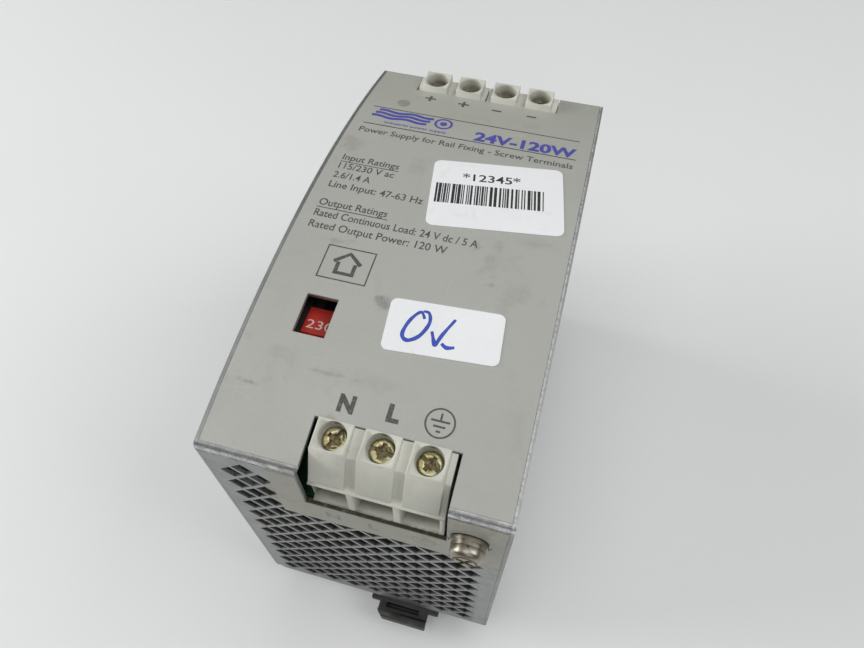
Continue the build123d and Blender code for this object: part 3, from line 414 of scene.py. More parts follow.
def terminal_plastic():
    m = Mat("terminal_plastic")
    base_c = srgb(203, 203, 192)
    cloud = m.noise(75.0, 5, 0.62, 0.3)
    c = m.mix(m.rng(cloud, 0.3, 0.7), tint(base_c, 0.90), tint(base_c, 1.05))
    g = m.rng(m.noise(330.0, 7, 0.72, 0.7), 0.52, 0.80, 0.0, 0.34, smooth=True)
    c = m.mix(g, c, srgb(142, 137, 116))
    x, y, z = m.xyz()
    # painted shade: the insides of the wire pockets are painted dark, more so deeper in
    pocket_shade = m.math("MULTIPLY", m.rng(y, -0.0612, -0.0590, 0.0, 1.0, smooth=True), m.rng(y, -0.0570, -0.0566, 1.0, 0.0))
    pocket_shade = m.math("MULTIPLY", pocket_shade, m.rng(z, 0.0872, 0.0876, 1.0, 0.0))
    pocket_shade = m.math("MULTIPLY", pocket_shade, m.rng(m.noise(260.0, 4, 0.6), 0.3, 0.6, 0.75, 1.0))
    c = m.mix(m.math("MULTIPLY", pocket_shade, 0.80), c, srgb(66, 62, 50))
    # painted shadow: the lowest strip of the housing, over the gap above the sheet edge, is painted dark brown
    lip_shadow = m.math("MULTIPLY", m.rng(z, 0.0788, 0.0793, 1.0, 0.0, smooth=True), m.rng(m.noise(700.0, 5, 0.7), 0.36, 0.56, 0.2, 1.0, smooth=True))
    lip_shadow = m.math("MULTIPLY", lip_shadow, m.rng(y, -0.0600, -0.0590, 1.0, 0.0))
    c = m.mix(m.math("MULTIPLY", lip_shadow, 0.8), c, srgb(92, 78, 52))

    # brown at the bottom of each screw bore: partly dust, partly painted shade
    def bore_dust_and_shade(centres, y0, z0, ay, az, radius, w0, w1, amount):
        nonlocal c
        dy, dz = m.math("SUBTRACT", y, y0), m.math("SUBTRACT", z, z0)
        w = m.math("ADD", m.math("MULTIPLY", dy, ay), m.math("MULTIPLY", dz, az))
        v = m.math("SUBTRACT", m.math("MULTIPLY", dy, az), m.math("MULTIPLY", dz, ay))
        dx = None
        for q in centres:
            d = m.math("ABSOLUTE", m.math("SUBTRACT", x, q))
            dx = d if dx is None else m.math("MINIMUM", dx, d)
        rr = m.math("ADD", m.math("MULTIPLY", dx, dx), m.math("MULTIPLY", v, v))
        k = m.math("MULTIPLY", m.rng(rr, radius ** 2, (radius + 0.00008) ** 2, 1.0, 0.0), m.rng(w, w0, w1, 1.0, 0.0, smooth=True))
        k = m.math("MULTIPLY", k, m.rng(m.noise(600.0, 4, 0.65), 0.30, 0.62, 0.55, 1.0))
        c = m.mix(m.math("MULTIPLY", k, amount), c, srgb(88, 76, 52))

    bore_dust_and_shade((-0.01445, -0.00485, 0.0051, 0.0147), 0.05565, 0.0968, 0.0, 1.0, 0.00308, -0.0015, 0.0011, 0.85)
    bore_dust_and_shade((-0.00575, 0.00395, 0.01365), -0.0539, 0.09642684, -0.20460864, 0.97884386, 0.00298, -0.0021, -0.0003, 0.50)
    m.setp(Base_Color=c, Roughness=m.rng(m.noise(500.0, 4, 0.6), 0.3, 0.7, 0.44, 0.60))
    m.p.inputs["Specular IOR Level"].default_value = 0.42
    m.p.inputs["Subsurface Weight"].default_value = 0.06
    m.p.inputs["Subsurface Radius"].default_value = (0.0012, 0.0011, 0.0009)
    m.p.inputs["Subsurface Scale"].default_value = 0.5
    m.bump(m.math("ADD", m.noise(2400.0, 3, 0.6), m.math("MULTIPLY", cloud, 0.5)), 0.07, 0.0001)
    return m.m


def latch_black():
    """Glass-filled black plastic; the blind slot in the foot is painted near-black, a painted shade."""
    m = Mat("latch_black")
    x, y, z = m.xyz()
    n1 = m.noise(45.0, 4, 0.6)
    c = m.mix(m.rng(n1, 0.3, 0.7), (0.029, 0.029, 0.028), (0.042, 0.042, 0.041))
    g = m.rng(m.noise(160.0, 6, 0.68, 0.4), 0.50, 0.78, 0.0, 0.40, smooth=True)
    c = m.mix(g, c, (0.14, 0.135, 0.12))
    # painted shade: the blind slot in the foot painted near-black
    slot = m.math("MULTIPLY", m.rng(y, -0.06380, -0.06374, 0.0, 1.0), m.rng(y, -0.06252, -0.06244, 1.0, 0.0))
    slot = m.math("MULTIPLY", slot, m.math("MULTIPLY", m.rng(z, 0.00270, 0.00274, 0.0, 1.0), m.rng(z, 0.00425, 0.00450, 1.0, 0.0)))
    slot = m.math("MULTIPLY", slot, m.rng(m.math("ABSOLUTE", m.math("SUBTRACT", x, 0.00745)), 0.00500, 0.00506, 1.0, 0.0))
    c = m.mix(m.math("MULTIPLY", slot, 0.9), c, (0.006, 0.006, 0.006))
    m.setp(Base_Color=c, Roughness=m.rng(m.noise(420.0, 3, 0.5), 0.3, 0.7, 0.45, 0.60))
    m.p.inputs["Specular IOR Level"].default_value = 0.33
    m.bump(m.noise(1500.0, 2, 0.5), 0.09, 0.0001)
    return m.m


def chromate():
    """Yellow-passivated steel: gold with iridescent green and violet patches, dark in the recess."""
    m = Mat("yellow_chromate")
    n1 = m.noise(420.0, 5, 0.65, 0.8)
    c = m.ramp(n1, (0.28, (0.24, 0.17, 0.09)), (0.42, (0.42, 0.37, 0.18)), (0.54, (0.55, 0.50, 0.29)), (0.64, (0.37, 0.41, 0.26)), (0.78, (0.42, 0.30, 0.27)))
    dirt = m.rng(m.noise(900.0, 5, 0.7), 0.47, 0.70, 0.0, 0.70, smooth=True)
    c = m.mix(dirt, c, (0.10, 0.075, 0.045))
    ring = m.noise(1.0, 2, 0.5, 0.0, m.scaled(1600.0, 5200.0, 1600.0))
    m.setp(Base_Color=c, Metallic=m.rng(dirt, 0.0, 0.45, 1.0, 0.6), Roughness=m.rng(n1, 0.3, 0.7, 0.22, 0.40))
    m.bump(m.math("ADD", ring, n1), 0.12, 0.0001)
    return m.m


def red_plastic():
    m = Mat("red_plastic")
    base_c = srgb(192, 48, 38)
    c = m.mix(m.rng(m.noise(260.0, 4, 0.6), 0.3, 0.7), tint(base_c, 0.86), tint(base_c, 1.08))
    c = m.mix(m.rng(m.noise(700.0, 5, 0.7), 0.55, 0.8, 0.0, 0.2), c, (0.20, 0.03, 0.02))
    m.setp(Base_Color=c, Roughness=m.rng(m.noise(600.0, 3, 0.5), 0.3, 0.7, 0.34, 0.46))
    m.bump(m.noise(2000.0, 3, 0.5), 0.06, 0.0001)
    return m.m


def board_green():
    m = Mat("board_green")
    v = m.voronoi(230.0, "F1", m.scaled(1.0, 1.0, 1.0), "Color", 0.6)
    n = m.noise(90.0, 4, 0.6)
    c = m.mix(m.rng(n, 0.3, 0.7), (0.010, 0.055, 0.028), (0.022, 0.105, 0.050))
    c = m.mix(m.rng(m.math("MULTIPLY", v, 1.0), 0.55, 0.60, 0.0, 0.35), c, (0.05, 0.17, 0.08))
    m.setp(Base_Color=c, Roughness=m.rng(n, 0.3, 0.7, 0.28, 0.42))
    m.bump(m.noise(700.0, 3, 0.5), 0.08, 0.0001)
    return m.m


def copper():
    m = Mat("copper_wire")
    n = m.noise(500.0, 3, 0.5)
    c = m.mix(m.rng(n, 0.3, 0.7), (0.16, 0.055, 0.022), (0.27, 0.11, 0.05))
    m.setp(Base_Color=c, Metallic=0.85, Roughness=m.rng(n, 0.3, 0.7, 0.24, 0.38))
    m.bump(n, 0.05, 0.0001)
    return m.m


def sheet_milky():
    m = Mat("clear_sheet")
    n = m.noise(70.0, 4, 0.6)
    c = m.mix(m.rng(n, 0.3, 0.7), (0.62, 0.62, 0.56), (0.74, 0.74, 0.69))
    m.setp(Base_Color=c, Roughness=m.rng(n, 0.3, 0.7, 0.25, 0.38))
    m.bump(n, 0.04, 0.0002)
    return m.m


def sleeve():
    m = Mat("capacitor_sleeve")
    n = m.noise(120.0, 4, 0.6)
    c = m.mix(m.rng(n, 0.3, 0.7), (0.012, 0.020, 0.050), (0.022, 0.036, 0.085))
    m.setp(Base_Color=c, Roughness=m.rng(n, 0.3, 0.7, 0.26, 0.36))
    m.bump(m.noise(1.0, 3, 0.5, 0.0, m.scaled(900.0, 900.0, 120.0)), 0.06, 0.0001)
    return m.m


MATS = {
    "zinc_sheet": zinc_sheet(),
    "front_foil": front_foil(),
    "end_foil": end_foil(),
    "white_label": label_paper(),
    "nickel_screw": metal("nickel_screw", (0.44, 0.42, 0.36), 0.30, 0.16, None, 0.10, (0.20, 0.16, 0.10), 0.65),
    "yellow_chromate": chromate(),
    "cage_steel": metal("cage_steel", (0.52, 0.53, 0.52), 0.36, 0.10, (900.0, 3000.0, 900.0), 0.06, (0.32, 0.30, 0.26), 0.25),
    "terminal_brass": metal("terminal_brass", (0.66, 0.60, 0.46), 0.32, 0.10, (1200.0, 1200.0, 300.0), 0.05, (0.36, 0.26, 0.14), 0.30),
    "terminal_plastic": terminal_plastic(),
    "white_plastic": plastic("white_plastic", (0.72, 0.72, 0.68), 0.45, 0.05, 1600, 0.05, 0.5, (0.4, 0.38, 0.3), 0.15),
    "black_plastic": plastic("black_plastic", (0.020, 0.020, 0.021), 0.46, 0.15, 1600, 0.06, 0.5, (0.09, 0.085, 0.075), 0.3),
    "red_plastic": red_plastic(),
    "yellow_plastic": plastic("yellow_plastic", (0.62, 0.46, 0.09), 0.36, 0.06, 1400, 0.04, 0.5, (0.25, 0.18, 0.06), 0.2),
    "lamp_green": plastic("lamp_green", (0.10, 0.30, 0.13), 0.25, 0.06, 900, 0.02, 0.5, None),
    "board_green": board_green(),
    "clear_sheet": sheet_milky(),
    "ferrite": plastic("ferrite", (0.045, 0.045, 0.048), 0.52, 0.15, 900, 0.12, 0.5, (0.10, 0.09, 0.08), 0.2),
    "copper_wire": copper(),
    "capacitor_sleeve": sleeve(),
    "heatsink_aluminium": metal("heatsink_aluminium", (0.60, 0.61, 0.62), 0.34, 0.08, (300.0, 300.0, 3000.0), 0.05),
    "yellow_tape": plastic("yellow_tape", (0.66, 0.50, 0.11), 0.34, 0.07, 700, 0.05, 0.5, (0.35, 0.25, 0.08), 0.2),
    "bracket_black": plastic("bracket_black", (0.036, 0.036, 0.035), 0.52, 0.18, 1500, 0.09, 0.40, (0.15, 0.145, 0.13), 0.40),
    "spring_steel": metal("spring_steel", (0.42, 0.42, 0.42), 0.30, 0.10, None, 0.05),
}
INK_GREY = ink("print_grey", srgb(74, 74, 72), 0.30)
INK_VIOLET = ink("print_violet", srgb(72, 72, 158), 0.22)
INK_BLACK = ink("print_black", srgb(34, 34, 34), 0.10, srgb(200, 202, 204))
INK_FAINT = ink("print_faint", srgb(134, 135, 124), 0.5, srgb(156, 155, 142))
INK_SPOT = ink("print_lamp_spot", srgb(144, 144, 138), 0.25)
INK_PEN = ink("pen_blue", srgb(48, 74, 176), 0.10, srgb(120, 140, 205), 0.35)
LATCH_BLACK = latch_black()
INK_WHITE = ink("print_white", srgb(232, 214, 206), 0.10, srgb(190, 90, 70))

record = frame["record"]
SLOT_OF = {s["node"]: s["material_slot"] for s in record["subparts"]}
for name, obj in NODES.items():
    mat = MATS[SLOT_OF[name]]
    if not obj.material_slots:
        obj.data.materials.append(mat)
    for s in obj.material_slots:
        s.material = mat


# ------------------------------------------------------------------ mesh helpers
def add(name, mesh, mat, body="case"):
    o = bpy.data.objects.new(name, mesh)
    bpy.context.scene.collection.objects.link(o)
    mesh.materials.clear()
    mesh.materials.append(mat)
    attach(o, body)
    return o


def sharp(mesh, angle=35.0):
    mesh.polygons.foreach_set("use_smooth", [True] * len(mesh.polygons))
    mesh.set_sharp_from_angle(angle=math.radians(angle))


def merge_flats(bm, cuts):
    """Join coplanar triangles; planes x = cuts (mm) pass through every hole, so no joined face has a hole in it."""
    bmesh.ops.remove_doubles(bm, verts=bm.verts, dist=2e-6)
    for x in cuts:
        r = bmesh.ops.bisect_plane(bm, geom=bm.verts[:] + bm.edges[:] + bm.faces[:], dist=1e-7, plane_co=(x * MM, 0, 0), plane_no=(1, 0, 0))
        for e in r["geom_cut"]:
            if isinstance(e, bmesh.types.BMEdge):
                e.seam = True
    bmesh.ops.dissolve_limit(bm, angle_limit=math.radians(0.6), verts=bm.verts, edges=bm.edges, delimit={"NORMAL", "SEAM"})
    for e in bm.edges:
        e.seam = False


def roundable(bm, angle, width):
    """Sharp edges with room for a bevel of that width (mm): no short edge ends on them."""
    out = []
    for e in bm.edges:
        if len(e.link_faces) != 2 or e.calc_face_angle(0.0) < math.radians(angle) or e.calc_length() < 3.0 * width * MM:
            continue
        if all(o.calc_length() > 2.1 * width * MM for v in e.verts for o in v.link_edges):
            out.append(e)
    return out


def moulded(node, name, mat, body, width, angle=32.0, segments=2, cuts=()):
    """The CAD node again with its sharp edges rounded, standing for the node."""
    src = NODES[node]
    bm = bmesh.new()
    bm.from_mesh(src.data)
    merge_flats(bm, cuts)
    edges = roundable(bm, angle, width)
    bmesh.ops.bevel(bm, geom=edges, offset=width * MM, offset_type="OFFSET", segments=segments, profile=0.6,
                    affect="EDGES", clamp_overlap=True, loop_slide=True, miter_outer="ARC")
    bmesh.ops.remove_doubles(bm, verts=bm.verts, dist=1e-7)
    bmesh.ops.triangulate(bm, faces=[f for f in bm.faces if len(f.verts) > 4])
    bmesh.ops.recalc_face_normals(bm, faces=bm.faces)
    me = bpy.data.meshes.new(name)
    bm.to_mesh(me)
    bm.free()
    # bevelling never leaves the CAD box
    lo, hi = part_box(node)
    for v in me.vertices:
        for k in range(3):
            v.co[k] = min(max(v.co[k], lo[k]), hi[k])
    sharp(me, 40.0)
    o = add(name, me, mat, body)
    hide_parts(node)
    return o


def prism(polys, low, high, place, step=0.8):
    """Closed flat solids from 2-D polygons (x, y), between heights low and high, put in place by place(x, y, h)."""
    bm = bmesh.new()
    for poly in polys:
        if step:
            out = []
            for i, p in enumerate(poly):
                q = poly[(i + 1) % len(poly)]
                n = max(1, int(math.ceil(math.hypot(q[0] - p[0], q[1] - p[1]) / step)))
                out += [(p[0] + (q[0] - p[0]) * k / n, p[1] + (q[1] - p[1]) * k / n) for k in range(n)]
            poly = out
        area = sum(poly[i][0] * poly[(i + 1) % len(poly)][1] - poly[(i + 1) % len(poly)][0] * poly[i][1] for i in range(len(poly)))
        if area < 0:
            poly = poly[::-1]
        top = [bm.verts.new((x, y, high)) for x, y in poly]
        bot = [bm.verts.new((x, y, low)) for x, y in poly]
        bm.faces.new(top)
        bm.faces.new(bot[::-1])
        n = len(poly)
        for i in range(n):
            j = (i + 1) % n
            bm.faces.new((top[j], top[i], bot[i], bot[j]))
    big = [f for f in bm.faces if len(f.verts) > 4]
    if big:
        bmesh.ops.triangulate(bm, faces=big)
    for v in bm.verts:
        v.co = place(*v.co)
    me = bpy.data.meshes.new("flat")
    bm.to_mesh(me)
    bm.free()
    return me


def bar(x0, x1, y0, y1):
    return [(x0, y0), (x1, y0), (x1, y1), (x0, y1)]


def stroke(points, w, closed=False):
    """Quads of width w along a polyline, overlapping a little at the joints."""
    out = []
    n = len(points)
    left, right = [], []
    for i in range(n):
        if closed:
            a, b = points[(i - 1) % n], points[(i + 1) % n]
        else:
            a, b = points[max(i - 1, 0)], points[min(i + 1, n - 1)]
        dx, dy = b[0] - a[0], b[1] - a[1]
        l = math.hypot(dx, dy) or 1.0
        ww = w[i] if isinstance(w, (list, tuple)) else w
        left.append((points[i][0] - dy / l * ww / 2, points[i][1] + dx / l * ww / 2))
        right.append((points[i][0] + dy / l * ww / 2, points[i][1] - dx / l * ww / 2))
    return left, right


def ribbon(points, w, low, high, place, closed=False):
    """A closed solid ribbon of width w along a polyline."""
    left, right = stroke(points, w, closed)
    bm = bmesh.new()
    n = len(points)
    L1 = [bm.verts.new((x, y, high)) for x, y in left]
    R1 = [bm.verts.new((x, y, high)) for x, y in right]
    L0 = [bm.verts.new((x, y, low)) for x, y in left]
    R0 = [bm.verts.new((x, y, low)) for x, y in right]
    for i in range(n if closed else n - 1):
        j = (i + 1) % n
        bm.faces.new((L1[i], R1[i], R1[j], L1[j]))
        bm.faces.new((L0[j], R0[j], R0[i], L0[i]))
        bm.faces.new((L0[i], L1[i], L1[j], L0[j]))
        bm.faces.new((R0[j], R1[j], R1[i], R0[i]))
    if not closed:
        bm.faces.new((L0[0], R0[0], R1[0], L1[0]))
        bm.faces.new((L1[-1], R1[-1], R0[-1], L0[-1]))
    bmesh.ops.recalc_face_normals(bm, faces=bm.faces)
    for v in bm.verts:
        v.co = place(*v.co)
    me = bpy.data.meshes.new("ribbon")
    bm.to_mesh(me)
    bm.free()
    return me


def join(meshes, name):
    bm = bmesh.new()
    for me in meshes:
        bm.from_mesh(me)
    out = bpy.data.meshes.new(name)
    bm.to_mesh(out)
    bm.free()
    for me in meshes:
        bpy.data.meshes.remove(me)
    return out


def lettering(body, x0, x1, baseline, cap, low, high, place, bold=0.0, shear=0.0, align="left"):
    """Closed letters of that cap height (mm), stretched to run from x0 to x1 (x1 None keeps the width)."""
    cu = bpy.data.curves.new("lettering", "FONT")
    cu.body = "H"
    cu.size = 1.0
    cu.offset = bold
    cu.extrude = 0.5
    cu.resolution_u = 3
    cu.shear = shear
    ob = bpy.data.objects.new("lettering", cu)
    bpy.context.scene.collection.objects.link(ob)
    dg = bpy.context.evaluated_depsgraph_get()
    me = bpy.data.meshes.new_from_object(ob.evaluated_get(dg))
    hh = max(v.co.y for v in me.vertices) - min(v.co.y for v in me.vertices)
    bpy.data.meshes.remove(me)
    cu.body = body
    bpy.context.view_layer.update()
    dg = bpy.context.evaluated_depsgraph_get()
    me = bpy.data.meshes.new_from_object(ob.evaluated_get(dg))
    bpy.data.objects.remove(ob)
    bpy.data.curves.remove(cu)
    xs = [v.co.x for v in me.vertices]
    a, b = min(xs), max(xs)
    k = cap / hh
    kx = k if x1 is None else (x1 - x0) / (b - a)
    bm = bmesh.new()
    bm.from_mesh(me)
    bmesh.ops.remove_doubles(bm, verts=bm.verts, dist=1e-5)
    for v in bm.verts:
        h = high if v.co.z > 0 else low
        v.co = place(x0 + (v.co.x - a) * kx, baseline + v.co.y * k, h)
    bm.to_mesh(me)
    bm.free()
    return me


# ------------------------------------------------------------------ print on the front foil
LOW, HIGH = FOIL_TOP - 0.05, FOIL_TOP + 0.012
grey, violet = [], []
T = lambda *a, bold=0.010, **k: lettering(*a, low=LOW, high=HIGH, place=front, bold=bold, **k)
grey.append(T("Power Supply for Rail Fixing - Screw Terminals", 4.0, 59.5, 89.2, 2.1))
grey.append(prism([bar(4.0, 59.8, 101.35, 101.7), bar(4.0, 59.8, 92.95, 93.3)], LOW, HIGH, front))
grey.append(T("Input Ratings", 4.1, 18.6, 76.85, 2.1))
grey.append(prism([bar(4.0, 19.0, 76.0, 76.25)], LOW, HIGH, front))
grey.append(T("115/230 V ac", 4.2, 18.3, 73.6, 2.1))
grey.append(T("2.6/1.4 A", 4.1, 13.4, 70.2, 2.1))
grey.append(T("Line Input: 47-63 Hz", 4.2, 27.5, 66.85, 2.1))
grey.append(T("Output Ratings", 4.1, 20.8, 60.7, 2.1))
grey.append(prism([bar(4.0, 21.3, 59.85, 60.1)], LOW, HIGH, front))
grey.append(T("Rated Continuous Load: 24 V dc / 5 A", 4.2, 43.0, 57.25, 2.1))
grey.append(T("Rated Output Power: 120 W", 4.2, 36.7, 53.8, 2.1))
# polarity and conductor marks beside the terminals
for x, a0 in ((17.5, 110.5), (26.9, 110.35)):
    grey.append(prism([bar(x - 1.5, x + 1.5, a0 - 0.34, a0 + 0.34), bar(x - 0.34, x + 0.34, a0 - 1.5, a0 - 0.34), bar(x - 0.34, x + 0.34, a0 + 0.34, a0 + 1.5)], LOW, HIGH, front))
for x, a0 in ((36.2, 109.9), (45.8, 109.9)):
    grey.append(prism([bar(x - 1.3, x + 1.3, a0 - 0.34, a0 + 0.34)], LOW, HIGH, front))
grey.append(T("N", 25.2, 28.6, 13.45, 3.75, bold=0.055))
grey.append(T("L", 35.2, 37.8, 13.8, 3.75, bold=0.055))
ring = [(45.7 + 2.88 * math.cos(t * math.pi / 32), 15.8 + 2.88 * math.sin(t * math.pi / 32)) for t in range(64)]
grey.append(ribbon(ring, 0.36, LOW, HIGH, front, closed=True))
grey.append(prism([bar(45.5, 45.9, 16.4, 17.8), bar(43.8, 47.6, 15.98, 16.4), bar(44.5, 46.9, 14.88, 15.3), bar(45.25, 46.15, 13.9, 14.3)], LOW, HIGH, front))
# framed pictogram: house for indoor use
frame_pts = [(10.95, 41.3), (22.05, 41.3), (22.05, 49.9), (10.95, 49.9)]
grey.append(prism([bar(10.85, 22.15, 49.75, 50.05), bar(10.85, 22.15, 41.15, 41.45), bar(10.85, 11.15, 41.45, 49.75), bar(21.85, 22.15, 41.45, 49.75)], LOW, HIGH, front))
house = [(13.4, 45.9), (16.5, 48.5), (19.6, 45.9)]
grey.append(ribbon(house, 0.95, LOW, HIGH, front))
grey.append(prism([bar(14.1, 15.0, 42.7, 45.95), bar(18.0, 18.9, 42.7, 45.95), bar(15.0, 18.0, 42.7, 43.5)], LOW, HIGH, front))
o = add("foil_print_grey", join(grey, "foil_print_grey"), INK_GREY)
# blue-violet: plain emblem (a wave in a slanted band, then a ring), designation, small line
for k, a0 in enumerate((97.15, 98.65, 100.15)):
    wavy = [(4.6 + 0.42 * (a0 - 96.4) + t * 0.42, a0 + 0.34 * math.sin(t * math.pi / 9.5 + 0.5)) for t in range(37)]
    violet.append(ribbon(wavy, 1.02, LOW, HIGH, front))
disc = [(24.3 + 2.15 * math.cos(t * math.pi / 24), 98.6 + 2.15 * math.sin(t * math.pi / 24)) for t in range(48)]
violet.append(ribbon(disc, 0.62, LOW, HIGH, front, closed=True))
violet.append(prism([[(24.3 + 0.95 * math.cos(t * math.pi / 12), 98.6 + 0.95 * math.sin(t * math.pi / 12)) for t in range(24)]], LOW, HIGH, front))
violet.append(T("industrial power supply", 9.3, 26.0, 94.35, 1.0, bold=0.012))
violet.append(T("24V-120W", 33.3, 59.6, 93.95, 4.0, bold=0.040))
add("foil_print_violet", join(violet, "foil_print_violet"), INK_VIOLET)
spot = [(11.3 + 1.8 * math.cos(t * math.pi / 20), 105.5 + 1.8 * math.sin(t * math.pi / 20)) for t in range(40)]
add("foil_lamp_spot", prism([spot], LOW, HIGH, front), INK_SPOT)

# ------------------------------------------------------------------ faint marks on the end foil
E_LOW, E_HIGH = 0.10, 0.158
faint = []
TE = lambda *a, **k: lettering(*a, low=E_LOW, high=E_HIGH, place=lambda x, y, h: end_face(x, -y, h), **k)
faint.append(TE("N", 24.9, 28.1, -22.2, 3.4, bold=0.03))
faint.append(TE("L", 34.3, 36.8, -22.2, 3.4, bold=0.03))
ring = [(46.5 + 2.5 * math.cos(t * math.pi / 24), -20.5 + 1.9 * math.sin(t * math.pi / 24)) for t in range(48)]
faint.append(ribbon(ring, 0.28, E_LOW, E_HIGH, lambda x, y, h: end_face(x, -y, h), closed=True))
faint.append(prism([bar(46.35, 46.65, -20.1, -19.1), bar(45.0, 48.0, -20.4, -20.1), bar(45.6, 47.4, -21.2, -20.9)], E_LOW, E_HIGH, lambda x, y, h: end_face(x, -y, h)))
add("end_foil_print", join(faint, "end_foil_print"), INK_FAINT)


# ------------------------------------------------------------------ labels
def label_frame(bl, br, tl):
    ux, uy = br[0] - bl[0], br[1] - bl[1]
    lu = math.hypot(ux, uy)
    vx, vy = tl[0] - bl[0], tl[1] - bl[1]
    lv = math.hypot(vx, vy)
    return lambda u, v, h: front(bl[0] + ux / lu * u + vx / lv * v, bl[1] + uy / lu * u + vy / lv * v, h)


S_LOW, S_HIGH = LABEL_TOP - 0.06, LABEL_TOP + 0.008
code = label_frame((29.9, 60.9), (61.1, 65.4), (26.3, 83.0))
rnd = random.Random(7)
bars, u = [], 1.2
while u < 26.6:
    w = rnd.choice((0.26, 0.30, 0.50, 0.70))
    bars.append(bar(u, min(u + w, 26.9), 7.4, 14.0))
    u += w + rnd.choice((0.18, 0.20, 0.34, 0.50))
black = [prism(bars, S_LOW, S_HIGH, code)]
black.append(lettering("*12345*", 7.3, 21.2, 15.6, 2.5, S_LOW, S_HIGH, code, bold=0.012))
add("barcode_print", join(black, "barcode_print"), INK_BLACK)

pen = []


def spline(pts, n=10):
    out = []
    P = [pts[0]] + list(pts) + [pts[-1]]
    for i in range(1, len(P) - 2):
        for k in range(n):
            t = k / n
            out.append(tuple(0.5 * ((2 * P[i][c]) + (-P[i - 1][c] + P[i + 1][c]) * t + (2 * P[i - 1][c] - 5 * P[i][c] + 4 * P[i + 1][c] - P[i + 2][c]) * t * t
                                    + (-P[i - 1][c] + 3 * P[i][c] - 3 * P[i + 1][c] + P[i + 2][c]) * t ** 3) for c in (0, 1)))
    out.append(tuple(pts[-1]))
    return out


loop = spline([(36.8, 36.6), (35.6, 38.0), (33.9, 35.6), (33.2, 32.2), (34.6, 31.0), (36.8, 32.6), (38.0, 35.8), (37.4, 38.1), (36.0, 38.3)])
tick = spline([(39.0, 34.2), (39.8, 32.4), (40.4, 31.4), (41.4, 34.2), (43.1, 38.0)])
dash = spline([(41.6, 32.0), (42.8, 31.3), (44.4, 31.7)])
for pts in (loop, tick, dash):
    n = len(pts)
    ws = [0.88 * (0.62 + 0.38 * math.sin(math.pi * min(1, i / (n - 1) * 1.0))) + 0.06 * math.sin(i * 0.7) for i in range(n)]
    pen.append(ribbon(pts, ws, S_LOW, S_HIGH, front))
add("pen_mark", join(pen, "pen_mark"), INK_PEN)

# ------------------------------------------------------------------ figures on the selector slider
lo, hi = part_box("selector_slider")
SEL_Z = hi.z / MM


def slider_place(x, y, h):
    return Vector((x * MM, y * MM, (SEL_Z + h) * MM))


digits = [lettering("230", -20.55, -14.6, -31.1, 2.15, -0.05, 0.0, slider_place, bold=0.0)]
for me in digits:
    for v in me.vertices:
        if v.co.z > (SEL_Z - 0.02) * MM:
            v.co.z = (SEL_Z + 0.012) * MM
add("selector_figures", join(digits, "selector_figures"), INK_WHITE, "selector")

# ------------------------------------------------------------------ moulded parts with rounded edges
moulded("input_terminal_block", "input_terminal_housing", MATS["terminal_plastic"], "case", 0.22, cuts=(-5.75, 3.95, 13.65))
moulded("output_terminal_block_plus", "output_terminal_housing_plus", MATS["terminal_plastic"], "case", 0.16, cuts=(-14.45, -4.85))
moulded("output_terminal_block_minus", "output_terminal_housing_minus", MATS["terminal_plastic"], "case", 0.16, cuts=(5.1, 14.7))
moulded("din_latch", "rail_latch_body", LATCH_BLACK, "latch", 0.22, cuts=(7.7,))
moulded("din_bracket", "rail_bracket_body", MATS["bracket_black"], "case", 0.20, cuts=(7.7, -8.5, 23.9, -9.1, 24.5))

# ------------------------------------------------------------------ screw heads: worn rims; the driver recess painted dark, partly dirt and partly painted shade
RECESS = {"gold": Mat("recess_dirt_and_shade_gold"), "nickel": Mat("recess_dirt_and_shade_nickel")}
for key, (c0, c1) in {"gold": ((0.11, 0.080, 0.042), (0.42, 0.36, 0.19)), "nickel": ((0.035, 0.028, 0.020), (0.17, 0.13, 0.09))}.items():
    rm = RECESS[key]
    rn = rm.noise(1500.0, 4, 0.65)
    rm.setp(Base_Color=rm.mix(rm.rng(rn, 0.35, 0.68), c0, c1), Metallic=0.35, Roughness=rm.rng(rn, 0.3, 0.7, 0.45, 0.62))
    rm.bump(rn, 0.15, 0.0001)


def screw(node, name, mat, recess, body, axis, at, top, radius, depth, width=0.07, cuts=()):
    """The CAD screw with softened edges; faces sunk below the head top take the recess material."""
    axis = Vector(axis).normalized()
    at = Vector(at)
    src = NODES[node]
    bm = bmesh.new()
    bm.from_mesh(src.data)
    merge_flats(bm, cuts)
    for f in bm.faces:
        c = f.calc_center_median() - at
        w = c.dot(axis)
        r = (c - axis * w).length
        out = (c - axis * w).normalized().dot(f.normal) if r > 1e-6 else 0.0
        sunk = top * MM - depth * MM < w < top * MM - 0.00004
        if sunk and r < radius * MM and not (out > 0.5 and r > (radius - 0.5) * MM):
            f.material_index = 1
    edges = roundable(bm, 35, width)
    bmesh.ops.bevel(bm, geom=edges, offset=width * MM, offset_type="OFFSET", segments=2, profile=0.6,
                    affect="EDGES", clamp_overlap=True, loop_slide=True, material=0)
    bmesh.ops.remove_doubles(bm, verts=bm.verts, dist=1e-7)
    bmesh.ops.recalc_face_normals(bm, faces=bm.faces)
    me = bpy.data.meshes.new(name)
    bm.to_mesh(me)
    bm.free()
    lo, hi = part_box(node)
    for v in me.vertices:
        for k in range(3):
            v.co[k] = min(max(v.co[k], lo[k]), hi[k])
    sharp(me, 40.0)
    index = [q.material_index for q in me.polygons]
    o = add(name, me, mat, body)
    me.materials.append(recess.m)
    me.polygons.foreach_set("material_index", index)
    me.update()
    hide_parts(node)
    return o


# the latch spring (it shortens against its fixed boss as the latch is pulled down) is copied from the CAD coil and held
# on the case at one length
coil = NODES["latch_spring"].data.copy()
coil.name = "latch_coil_spring"
spring = add("latch_coil_spring", coil, MATS["spring_steel"], "case")
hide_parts("latch_spring")
lo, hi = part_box("latch_spring")
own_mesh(spring)

